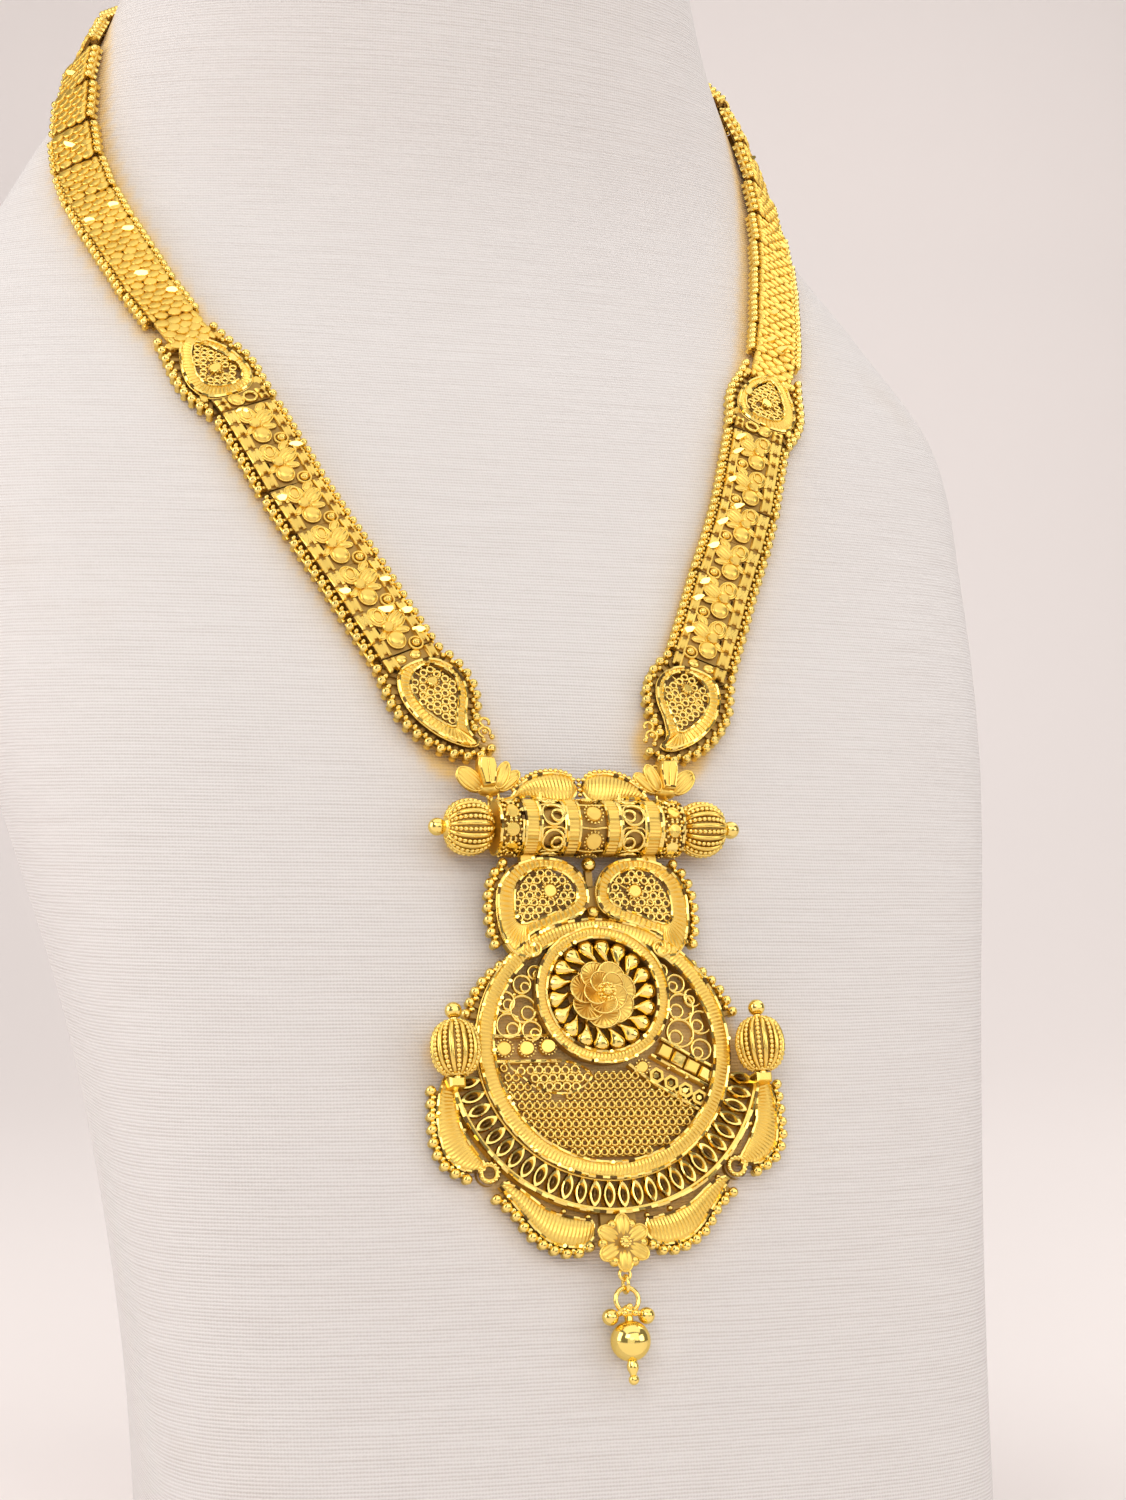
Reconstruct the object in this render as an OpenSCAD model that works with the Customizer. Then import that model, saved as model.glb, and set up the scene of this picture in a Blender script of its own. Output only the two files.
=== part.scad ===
// Long gold necklace: a hinged filigree band with a pendant, worn on a plain linen-covered neck bust.
// The bust stands on z = 0 and faces -Y. The pendant is drawn flat, in its own leaning plane.

/* [Bust] */
// Height of the neck bust
bust_h = 325; // [315:1:335]
// Height of one ring of the bust's surface
bust_step = 8; // [7:0.5:12]

/* [Band] */
// Number of lower links on each side
lower_links = 6; // [4:1:6]
// Length of one lower link, hinge to hinge
lower_pitch = 9.7; // [9.6:0.1:9.8]
// Number of upper links on each side
upper_links = 11; // [8:1:11]
// Length of one upper link, hinge to hinge
upper_pitch = 10.6; // [10.4:0.1:10.8]
// Thickness of the pierced top sheet
sheet_t = 0.6; // [0.5:0.05:0.7]
// Height of the sheet's underside above the bust
sheet_z = 2.1; // [2.1:0.05:2.3]
// Height of the flat rails above the sheet
rail_t = 0.35; // [0.25:0.05:0.5]

/* [Pendant] */
// Height of the big ring's centre above the base
pendant_z = 100; // [99:0.5:102]
// Angle by which the pendant leans back
lean = 17; // [16.5:0.25:17.5]
// Outer radius of the big ring
ring_r = 21.6; // [21.4:0.1:21.8]
// Outer radius of the spoked fan
fan_r = 27.1; // [26.9:0.1:27.3]
// Number of spokes in the fan
spokes = 28; // [22:1:28]
// Radius of an edge bead
bead_r = 0.85; // [0.75:0.05:0.9]
// Radius of the barrel's tube
tube_r = 4.3; // [4.2:0.05:4.3]
// Radius of the drop's main ball
drop_r = 3.2; // [2.8:0.1:3.3]

/* [Chain] */
// Radius of a chain link, to the middle of its wire
chain_r = 1.9; // [1.7:0.1:2]
// Radius of the chain's wire
chain_wire = 0.42; // [0.35:0.01:0.45]

/* [Hidden] */
$fn = 32;
play = 0.12;
gold = "gold";
linen = "mistyrose";
centre_y = 74.81;

sides = ["left", "right"];
last_link = lower_links + upper_links;

// Bust sections: height, half width, front y, widest y, back y, squareness of the front
bust_rows = [
    [0, 69.5, -28, 10, 140, 3.5],
    [50, 72.5, -13, 22, 141, 4.0],
    [100, 80, 1.5, 44, 142, 4.1],
    [150, 93, 22, 72, 145, 3.6],
    [185, 99.5, 42, 86, 150, 3.0],
    [215, 103, 61, 101, 156, 2.5],
    [240, 97, 80, 122, 162, 2.1],
    [265, 83.5, 93, 136, 168, 2.0],
    [295, 66.5, 95, 132, 172, 2.0],
    [325, 56, 92, 126, 174, 2.0]];
back_square = 2;
bust_sides = 64;

// The band's route over the bust: angle round from the front, height
route = [
    [20, 148], [24.5, 156], [30, 166], [34.5, 173.5], [38.7, 181], [43, 188.6], [46.8, 196.4],
    [50.2, 204.6], [55.4, 217.5], [60, 230], [64.3, 243.5], [69.5, 257.5], [74.5, 269], [81, 282],
    [88, 292], [98, 300], [112, 305], [130, 308], [155, 310], [180, 310]];
paisley_at = 1;
lift = 0.2;

// Smooth interpolation of a table's row, with the first column as its argument
function slope(t, i, c) =
    let (a = max(i - 1, 0), b = min(i + 1, len(t) - 1)) (t[b][c] - t[a][c]) / (t[b][0] - t[a][0]);
function hermite(a, b, ma, mb, u) =
    a * (2*u*u*u - 3*u*u + 1) + b * (3*u*u - 2*u*u*u) + ma * (u*u*u - 2*u*u + u) + mb * (u*u*u - u*u);
function below(t, z, i = 0) = i >= len(t) - 2 || t[i + 1][0] >= z ? i : below(t, z, i + 1);
function row_at(t, z) =
    let (i = below(t, z), h = t[i + 1][0] - t[i][0], u = (z - t[i][0]) / h)
    [for (c = [1:len(t[0]) - 1])
        hermite(t[i][c], t[i + 1][c], h * slope(t, i, c), h * slope(t, i + 1, c), u)];

// A point of the bust's skin, from the angle round from the front and the height
function skin(a, z) =
    let (w = row_at(bust_rows, z), front = cos(a) > 0, d = front ? w[2] - w[1] : w[3] - w[2],
         n = front ? w[4] : back_square,
         r = pow(pow(abs(sin(a)) / w[0], n) + pow(abs(cos(a)) / d, n), -1 / n))
    [-r * sin(a), w[2] - r * cos(a), z];
function unit(v) = v / norm(v);
function skin_normal(a, z) =
    unit(cross(skin(a, z + 1) - skin(a, z - 1), skin(a + 1, z) - skin(a - 1, z)));

// The route as a smooth curve, measured along its length
function catmull(t, k, u) =
    let (n = len(t) - 1, p = t[max(k - 1, 0)], a = t[k], b = t[k + 1], q = t[min(k + 2, n)])
    hermite(a, b, (b - p) / 2, (q - a) / 2, u);
function route_at(u) = let (k = min(floor(u), len(route) - 2)) catmull(route, k, u - k);
function on_route(u) = let (q = route_at(u)) skin(q[0], q[1]);
route_steps = 12;
route_points = [for (i = [0:(len(route) - 1) * route_steps]) on_route(i / route_steps)];
route_lengths = [for (i = 0, s = 0; i < len(route_points);
    s = s + (i + 1 < len(route_points) ? norm(route_points[i + 1] - route_points[i]) : 0), i = i + 1) s];
route_table = [for (i = [0:len(route_points) - 1]) [route_lengths[i], i / route_steps]];
start_length = lookup(paisley_at, [for (r = route_table) [r[1], r[0]]]);
function param(s) = lookup(s + start_length, route_table);
function out(s) = let (q = route_at(param(s))) skin_normal(q[0], q[1]);
function spot(s) = on_route(param(s)) + lift * out(s);

// A frame at a point: x towards the necklace's inside, y along it, z away from the bust
function frame(p, y, z) =
    let (ey = unit(y), ex = unit(cross(ey, z)), ez = cross(ex, ey))
    [[ex[0], ey[0], ez[0], p[0]], [ex[1], ey[1], ez[1], p[1]], [ex[2], ey[2], ez[2], p[2]], [0, 0, 0, 1]];
function frame_between(s0, s1) = frame(spot(s0), spot(s1) - spot(s0), out((s0 + s1) / 2));
function frame_at(s, reach = 5) = frame(spot(s), spot(s + reach) - spot(s - reach), out(s));
// Room that two pieces need at their joint, from the way the band turns there
band_half = 7.2;
band_high = 4;
function trim(s, reach = 10) =
    let (f = frame_at(s), turn = unit(spot(s + reach) - spot(s)) - unit(spot(s) - spot(s - reach)),
         yaw = abs(turn * [f[0][0], f[1][0], f[2][0]]), pitch = turn * [f[0][2], f[1][2], f[2][2]])
    gap + (band_half * yaw + band_high * max(pitch, 0)) / 2;

// Places along the band, measured from the middle of the lower paisley
lower_eye = 13.5;
lower_end = 10.6;
mid_start = lower_end + lower_links * lower_pitch;
mid_len = 27.6;
mid_at = 12;
upper_start = mid_start + mid_len;
function joint_s(i) = i <= lower_links ? lower_end + i * lower_pitch
    : upper_start + (i - 1 - lower_links) * upper_pitch;
band_end = joint_s(last_link + 1);
route_end = route_lengths[len(route_lengths) - 1] - start_length;

// Hinges: a bar at the start of each piece, held by two small rings of the piece before it
hinge_z = 1;
bar_r = 0.3;
hinge_r = 0.6;
hinge_wire = 0.2;
gap = 0.12;
skirt_z = 0.5;
skirt_t = 0.6;
top_z = sheet_z + sheet_t;
rail_z = top_z + rail_t;
// Half the width of a lower link's sheet, and the two sides of an upper link's
lower_half = 4.9;
upper_x = [-4.6, 3.7];

/* Building blocks */
module placed() { translate([0, -centre_y, 0]) children(); }
module side(s) { if (s == "left") children(); else mirror([1, 0, 0]) children(); }
module slab(x0, x1, y0, y1, z0, z1) { translate([x0, y0, z0]) cube([x1 - x0, y1 - y0, z1 - z0]); }
module ring(r, wire) { rotate_extrude() translate([r, 0]) circle(wire, $fn = 16); }
module ball(x, y, z, r) { translate([x, y, z]) sphere(r, $fn = 20); }
module post(x, y, z0, z1, r) { translate([x, y, z0]) cylinder(h = z1 - z0, r = r, $fn = 20); }
module capsule(x, y, z0, z, r) {
    post(x, y, z0, z, r);
    ball(x, y, z, r);
}
// A low dome of radius r and height h
module dome(x, y, z, r, h) {
    big = (r * r + h * h) / (2 * h);
    translate([x, y, z]) intersection() {
        translate([0, 0, h - big]) sphere(big, $fn = 40);
        cylinder(h = h + 1, r = r + 1, $fn = 24);
    }
}
// A rod from one point to another
module rod(a, b, r) {
    d = b - a;
    translate(a) rotate([0, acos(d[2] / norm(d)), atan2(d[1], d[0])])
        cylinder(h = norm(d), r = r, $fn = 16);
}
// A melon bead along z: a ribbed barrel shape with rounded ends and a hole
function melon_line(length, r) =
    [for (a = [-75:15:75]) [r * pow(cos(a), 0.7), length / 2 * sin(a) / sin(75)]];
module melon(length, r, ribs, hole) {
    module solid(grow) {
        side_line = melon_line(length, r + grow);
        rotate_extrude() polygon(concat([[0, -length / 2]], side_line, [[0, length / 2]]));
    }
    rib_w = 0.55;
    difference() {
        union() {
            solid(-0.3);
            intersection() {
                solid(0);
                for (i = [0:ribs / 2 - 1]) rotate([0, 0, i * 360 / ribs])
                    slab(-r, r, -rib_w / 2, rib_w / 2, -length, length);
            }
        }
        cylinder(h = 2 * length, r = hole, center = true, $fn = 20);
    }
}
// A closed outline through a few points, rounded between them
function smooth(p, n = 4) = let (m = len(p)) [for (k = [0:m - 1], i = [0:n - 1])
    let (a = p[k], b = p[(k + 1) % m], q = p[(k + 2) % m], o = p[(k + m - 1) % m])
    hermite(a, b, (b - o) / 2, (q - a) / 2, i / n)];
function lengths(p) = [for (i = 0, s = 0; i < len(p); s = s + (i + 1 < len(p) ? norm(p[i + 1] - p[i]) : 0),
    i = i + 1) s];
function backwards(p) = [for (i = [len(p) - 1:-1:0]) p[i]];
// Points evenly spaced along an open line
function spaced(p, n) = let (l = lengths(p), e = l[len(l) - 1]) [for (i = [0:n - 1])
    let (s = e * i / (n - 1), x = [for (k = [0:len(p) - 1]) [l[k], p[k][0]]],
         y = [for (k = [0:len(p) - 1]) [l[k], p[k][1]]]) [lookup(s, x), lookup(s, y)]];

/* Bust */
module neck_bust() {
    n = ceil(bust_h / bust_step);
    base = [for (j = [0:n]) for (i = [0:bust_sides - 1]) skin(i * 360 / bust_sides, j * bust_h / n)];
    walls = [for (j = [0:n - 1]) for (i = [0:bust_sides - 1])
        let (a = j * bust_sides + i, b = j * bust_sides + (i + 1) % bust_sides)
        [a, b, b + bust_sides, a + bust_sides]];
    top = [for (i = [0:bust_sides - 1]) n * bust_sides + i];
    color(linen) polyhedron(base, concat(walls, [top], [[for (i = [bust_sides - 1:-1:0]) i]]));
}

/* Band */
hinge_x = [-2.2, 1.2];
lug_out = 0.42;
// The bar of a hinge, between the piece's own two side walls
module hinge_bar(x0, x1) {
    translate([x0, 0, hinge_z]) rotate([0, 90, 0]) cylinder(h = x1 - x0, r = bar_r, $fn = 20);
    for (x = [x0, x1 - skirt_t]) {
        slab(x, x + skirt_t, 0, 1.4, hinge_z - lug_out, hinge_z + lug_out);
        translate([x, 0, hinge_z]) rotate([0, 90, 0]) cylinder(h = skirt_t, r = lug_out, $fn = 20);
    }
}
// The two rings that hold the next piece's bar, with the tangs that carry them
module hinge_rings() {
    for (x = hinge_x) {
        translate([x, 0, hinge_z]) rotate([0, 90, 0]) ring(hinge_r, hinge_wire);
        slab(x - hinge_wire, x + hinge_wire, -1.3, -0.55, hinge_z - 0.3, sheet_z + 0.1);
    }
}
// The side walls below the rails
module skirts(x0, x1, y0, y1) {
    for (x = [x0, x1 - skirt_t]) slab(x, x + skirt_t, y0 + 0.6, y1 - 0.6, skirt_z, sheet_z + 0.1);
}
// A plain length of sheet on its two side walls
module straight_base(x0, x1, y0, y1) {
    slab(x0, x1, y0, y1, sheet_z, top_z);
    skirts(x0, x1, y0, y1);
}
// A row of edge beads and the low web that carries it
module bead_row(x, x_rail, y0, y1, n, r) {
    pitch = (y1 - y0) / n;
    slab(min(x, x_rail), max(x, x_rail), y0 + 0.4, y1 - 0.4, skirt_z + 0.3, sheet_z - 0.2);
    for (i = [0:n - 1]) capsule(x, y0 + (i + 0.5) * pitch, skirt_z + 0.1, sheet_z + 0.1, r);
}
module lower_sheet(y0, y1) {
    mid = (y0 + y1) / 2;
    slit = 1.5;
    linear_extrude(sheet_t) difference() {
        translate([-lower_half, y0]) square([2 * lower_half, y1 - y0]);
        translate([-2.6, mid - slit]) square([0.6, 2 * slit]);
        for (y = [y0, y1]) translate([2.4, y]) circle(0.8);
    }
    linear_extrude(sheet_t + rail_t) {
        translate([-lower_half, y0]) square([2.1, y1 - y0]);
        translate([lower_half - 1.7, y0]) square([1.7, y1 - y0]);
    }
    linear_extrude(sheet_t + 2 * rail_t) intersection() {
        translate([0, y0]) square([lower_half, y1 - y0]);
        for (y = [y0, y1]) translate([2.4, y]) difference() {
            circle(1.5);
            circle(0.8);
        }
    }
}
// A lower link between y0 and y1: sheet, walls, edge beads and a three-petal flower
module lower_link(y0, y1) {
    l = y1 - y0;
    translate([0, 0, sheet_z]) lower_sheet(y0, y1);
    skirts(-lower_half, lower_half, y0, y1);
    bead_row(-6.1, -4.6, y0, y1, 4, bead_r);
    bead_row(5.9, 4.6, y0, y1, 4, bead_r - 0.1);
    dome(-0.8, y0 + 0.79 * l, top_z - 0.05, 1.35, 0.85);
    dome(-0.9, y0 + 0.2 * l, top_z - 0.05, 1.35, 0.85);
    dome(1.3, y0 + 0.5 * l, top_z - 0.05, 1.3, 0.85);
}
// An upper link: a row of scales between two rows of plates
module upper_link(y0, y1) {
    rows = 4;
    pitch = (y1 - y0) / rows;
    tile = pitch / 2 - 0.18;
    straight_base(upper_x[0], upper_x[1], y0, y1);
    bead_row(-5.6, -4.3, y0, y1, rows, bead_r - 0.05);
    bead_row(4.6, 3.4, y0, y1, rows, bead_r - 0.05);
    for (i = [0:rows - 1]) {
        y = y0 + (i + 0.5) * pitch;
        slab(-4.1, -1.8, y - tile, y + tile, top_z - 0.05, rail_z);
        slab(1, 3.1, y - tile, y + tile, top_z - 0.05, rail_z);
        dome(-0.4, y, top_z - 0.05, tile, 0.8);
    }
}

/* Paisleys */
lower_outline = smooth([[0.5, 8.1], [-3.2, 7.3], [-5, 4.2], [-5.4, 0.4], [-4.5, -3.4], [-2.6, -7],
    [0.4, -10], [2.6, -10.2], [2, -8], [3.2, -4.6], [5.4, -1.2], [6.4, 2.4], [5.4, 5.6], [3.2, 7.5]]);
lower_window = smooth([[0.6, 6.9], [-2, 5.4], [-3.2, 2.4], [-2.8, -1.2], [-1.4, -4.2], [0.1, -6],
    [1.4, -4.2], [3.4, -1.6], [5, 1.6], [4.6, 4.6], [2.8, 6.4]]);
lower_holes = [[-1.4, 3.3], [-0.8, -0.2], [0.1, -3.2], [2.3, -1], [3.6, 1.6], [3.2, 4.8]];
lower_disc = [1.1, 3.4];
lower_bead_line = [[-6.2, 9.6], [-6.8, 6.2], [-7.4, 2.6], [-7.1, -1.2], [-6, -4.8], [-4.2, -8],
    [-1.6, -10.8], [1.4, -12.2], [4.1, -11.8]];
lower_bead_line_in = [[3.4, -7.2], [5.2, -5], [6.8, -2.6], [7.8, 0.4], [7.9, 3.6], [7.2, 6.6], [6, 9.4]];
mid_outline = smooth([[-0.6, 9.2], [-3, 8], [-4.8, 4.4], [-6.2, 0.6], [-6.6, -3.6], [-4.9, -7.4],
    [-0.6, -8.3], [3.4, -7.2], [5.1, -4], [5, 0.2], [3.8, 4], [1.6, 7.2]]);
mid_window = smooth([[-0.4, 7], [-2, 5.4], [-3.4, 2], [-4.2, -1.6], [-3.4, -4.6], [-0.4, -5.7], [2.6, -4.9],
    [3.8, -2], [3, 1.6], [1.4, 5]]);
mid_holes = [[-2.4, 1], [-2.8, -2.6], [-0.4, -4.2], [2.3, -2.8], [2, 0.8], [-0.5, 4.2]];
mid_disc = [-0.4, -0.9];
mid_bead_line = [[-6.2, 10.6], [-6.9, 6.1], [-7.7, 2], [-8.1, -2.4], [-7.6, -6.6], [-6.6, -10.4]];
mid_bead_line_in = [[5.1, 10.4], [5.9, 5.6], [6.8, 1.6], [6.9, -2.6], [6.3, -6.8], [6, -10.6]];
paisley_t = 1.2;
edge_w = 1.2;

// A teardrop plate: a raised ridged border round a pierced sheet with a disc
module teardrop(outline, window, holes, disc, z0) {
    translate([0, 0, z0]) {
        linear_extrude(sheet_t) difference() {
            polygon(outline);
            for (h = holes) translate(h) circle(0.75, $fn = 16);
        }
        linear_extrude(paisley_t) difference() {
            polygon(outline);
            polygon(window);
        }
        translate([disc[0], disc[1], 0]) cylinder(h = paisley_t, r = 1.15, $fn = 24);
    }
}
// Edge beads along a line, on a low wall
module bead_line(line, n, z0, z, r) {
    for (p = spaced(line, n)) capsule(p[0], p[1], z0, z, r);
}
module bead_wall(line, z0, z1) {
    translate([0, 0, z0]) linear_extrude(z1 - z0) for (i = [0:len(line) - 2]) {
        d = line[i + 1] - line[i];
        translate(line[i]) rotate(atan2(d[1], d[0])) translate([0, -edge_w / 2]) square([norm(d), edge_w]);
        translate(line[i]) circle(edge_w / 2, $fn = 16);
    }
}
module lower_paisley() {
    l = norm(spot(lower_end) - spot(0));
    teardrop(lower_outline, lower_window, lower_holes, lower_disc, sheet_z);
    straight_base(-lower_half, lower_half, 6, l - trim(lower_end));
    for (l = [[lower_bead_line, 11], [lower_bead_line_in, 8]]) {
        bead_wall(l[0], skirt_z + 0.3, sheet_z);
        bead_line(l[0], l[1], skirt_z + 0.1, sheet_z + 0.1, bead_r);
    }
    translate([0, 0, skirt_z + 0.5]) linear_extrude(sheet_z - skirt_z) difference() {
        polygon(concat(lower_bead_line, [[3, -9.5]], lower_bead_line_in));
        offset(-0.6) polygon(lower_outline);
    }
    translate([eye_x, -lower_eye, eye_z]) rotate([0, 90, 0]) ring(eye_r, eye_wire);
}
module mid_paisley() {
    l = norm(spot(upper_start) - spot(mid_start));
    translate([0, mid_at, 0]) {
        teardrop(mid_outline, mid_window, mid_holes, mid_disc, sheet_z);
        for (l = [[mid_bead_line, 9], [mid_bead_line_in, 9]]) {
            bead_wall(l[0], skirt_z + 0.3, sheet_z);
            bead_line(l[0], l[1], skirt_z + 0.1, sheet_z + 0.1, bead_r);
        }
        translate([0, 0, skirt_z + 0.5]) linear_extrude(sheet_z - skirt_z) difference() {
            polygon(concat(mid_bead_line, backwards(mid_bead_line_in)));
            offset(-0.6) polygon(mid_outline);
        }
    }
    straight_base(-lower_half, lower_half, trim(mid_start), 5);
    straight_base(upper_x[0], upper_x[1], 19, l - trim(upper_start));
    for (y = [21.3, 23.9, 26.2]) dome(-0.4, y, top_z - 0.05, 1.15, 0.75);
}

/* Back chain and clasp */
eye_x = 2;
eye_z = 1.7;
eye_r = 0.95;
eye_wire = 0.3;
chain_z = 2.6;
end_eye = 1.6;
clasp_half = 4.5;
clasp_r = 1.9;
chain_start = band_end + end_eye;
chain_stop = route_end - clasp_half - 1.5;
chain_full = 2 * (chain_r - chain_wire) - 2 * play;
chain_n = ceil((chain_stop - chain_start) / chain_full) - 1;
chain_pitch = (chain_stop - chain_start) / (chain_n + 1);
module chain_run() {
    for (i = [1:chain_n]) multmatrix(frame_at(chain_start + i * chain_pitch)) translate([0, 0, chain_z])
        rotate([0, i % 2 == 0 ? 45 : -45, 0]) ring(chain_r, chain_wire);
}
// A ring at one end of the chain, turned to suit the link beside it
module end_ring(turn) { translate([0, 0, chain_z]) rotate([0, turn, 0]) ring(chain_r, chain_wire); }
module back_chain() {
    color(gold) for (s = sides) side(s) chain_run();
}
module clasp() {
    z = on_route(len(route) - 1) + [0, chain_z, 0];
    color(gold) {
        translate(z) rotate([0, 90, 0]) cylinder(h = 2 * clasp_half - 4, r = clasp_r, center = true);
        for (s = sides) side(s) {
            translate(z - [clasp_half - 2, 0, 0]) sphere(clasp_r);
            multmatrix(frame_at(chain_stop)) end_ring(chain_n % 2 == 0 ? -45 : 45);
        }
    }
}
module last_eye() {
    multmatrix(frame_at(chain_start)) end_ring(45);
    multmatrix(frame_at(band_end)) slab(-1, 1, -1, 0.3, sheet_z, top_z);
}

/* Pendant */
module on_pendant() { translate([0, 0, pendant_z]) rotate([90 - lean, 0, 0]) children(); }
back_h = -0.8;
plate_h = 0.4;
ring_h = 1.7;
ring_in = 18.7;
rivet = [11.4, 16.9];
rivet_r = 0.5;
rosette_at = [0, 8.5];
rosette_r = 11.5;
barrel_s = 37.2;
barrel_h = 1.1;
barrel_end = 16.2;
net_x = 2.4;
net_y = 2.3;
scroll_holes = [[-12.9, 5.8, 1.1], [-17, 4, 1.1], [-16.9, 8, 1], [-13.4, 10.6, 1], [-12, 2.4, 0.9],
    [14.1, 6, 1.2], [12.4, 2.3, 1.1], [18, 4, 0.9], [16.6, 7.6, 0.9], [13.4, 10.6, 1], [16.4, -0.6, 0.8]];
mid_of_leaf = [-10.5, -4.8];
bar_tiles = [[9.2, -5], [12.3, -6.6], [15, -8], [10, -1], [13, -2.4], [15.6, -3.7]];
shoulder_beads = [[-14.9, 14.9], [-18.3, 12.6], [-21.2, 9.4], [-23, 5.8]];
side_beads = [[-29.6, -6.6], [-29.8, -11], [-29.6, -15.6], [-28, -18.8], [-24.6, -20.9]];
bottom_beads = [[-20, -24.2], [-17.2, -26.6], [-14.7, -30.2], [-11, -32.6], [-7.6, -33.2], [-5.2, -32.2]];
side_leaf = smooth([[-27.6, -4.6], [-29, -9], [-28.9, -14], [-27.4, -17.8], [-24.2, -20], [-21.4, -19.4],
    [-22.3, -17.2], [-25, -12.6], [-25.8, -7]]);
bottom_leaf = smooth([[-21, -21.6], [-18.6, -23.8], [-14.4, -28.8], [-11.2, -31.2], [-7.6, -32.2],
    [-4.4, -30.8], [-4.6, -27.6], [-8, -27.2], [-13, -25.1], [-17.4, -21.4]]);
twist_ring = [-21, -20];

module ring_band(r0, r1, h0, h1) {
    bevel = 0.35;
    rotate_extrude($fn = 96) polygon([[r0, h0], [r1, h0], [r1, h1 - bevel], [r1 - bevel, h1],
        [r0 + bevel, h1], [r0, h1 - bevel]]);
}
// The spoked fan below the ring, in the space from fan_a to 180 - fan_a
fan_a = 13;
module fan() {
    step = (180 - 2 * fan_a) / (spokes - 1);
    spoke_mid = (ring_r + fan_r) / 2 - 0.3;
    spoke_half = (fan_r - ring_r) / 2 + 0.1;
    arc_r = 4.4;
    translate([0, 0, back_h]) rotate([0, 0, 180 + fan_a - 3])
        rotate_extrude(angle = 186 - 2 * fan_a, $fn = 96) union() {
            translate([fan_r - 1, 0]) square([1, ring_h - back_h]);
            translate([fan_r - 0.5, 0]) square([2.2, 0.6]);
        }
    translate([0, 0, back_h]) linear_extrude(plate_h + 0.6 - back_h) for (i = [0:spokes - 1])
        rotate(180 + fan_a + i * step) translate([spoke_mid, 0]) intersection() {
            translate([0, arc_r - 0.75]) circle(arc_r, $fn = 48);
            translate([0, 0.75 - arc_r]) circle(arc_r, $fn = 48);
            square([2 * spoke_half, 4], center = true);
        }
}
module net_holes() {
    for (j = [0:5], i = [-9:9]) {
        p = [(i + (j % 2) / 2) * net_x, -5.9 - j * net_y];
        if (norm(p) < ring_r - 3.8 && norm(p - mid_of_leaf) > 2.4 && p[1] < -4 - 0.45 * p[0])
            translate(p) rotate(45) square(1.1, center = true);
    }
}
module leaf(outline, h) {
    translate([0, 0, back_h]) linear_extrude(plate_h + 0.5 - back_h) polygon(outline);
    translate([0, 0, plate_h]) linear_extrude(h - plate_h) offset(-0.7) polygon(outline);
}
module medallion_half() {
    leaf(side_leaf, ring_h - 0.2);
    leaf(bottom_leaf, ring_h - 0.2);
    for (l = [shoulder_beads, side_beads, bottom_beads]) {
        n = round(lengths(l)[len(l) - 1] / 2.15) + 1;
        bead_wall(l, back_h, plate_h);
        bead_line(l, n, back_h, plate_h + 0.3, bead_r);
    }
    for (w = [concat(shoulder_beads, [[-20, 4], [-14, 14]]), concat(side_beads, [[-24, -18], [-26.4, -7]]),
              concat(bottom_beads, [[-5, -29], [-12, -26], [-19, -22.5]])])
        translate([0, 0, back_h]) linear_extrude(0.7) polygon(w);
    translate([twist_ring[0], twist_ring[1], back_h]) difference() {
        cylinder(h = ring_h - back_h, r = 2.1);
        translate([0, 0, -1]) cylinder(h = 5, r = 0.9, $fn = 20);
    }
    side_foot();
    post(-rivet[0], rivet[1], ring_h - 0.2, 3.1, rivet_r);
}
module medallion() {
    color(gold) on_pendant() {
        translate([0, 0, back_h]) linear_extrude(plate_h - back_h) difference() {
            circle(ring_r - 0.2, $fn = 96);
            translate(rosette_at) circle(pin_r + play);
            for (h = scroll_holes) translate([h[0], h[1]]) circle(h[2]);
            for (t = bar_tiles) translate(t) rotate(15) square(1, center = true);
            net_holes();
        }
        ring_band(ring_in, ring_r, 0, ring_h);
        fan();
        translate([mid_of_leaf[0], mid_of_leaf[1], 0]) cylinder(h = 1.1, r = 1.6);
        difference() {
            slab(-3, 3, flower_s - 1.6, -28, back_h, plate_h);
            post(0, flower_s, -2, 2, flower_pin + play);
        }
        for (s = sides) side(s) medallion_half();
    }
}
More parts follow.
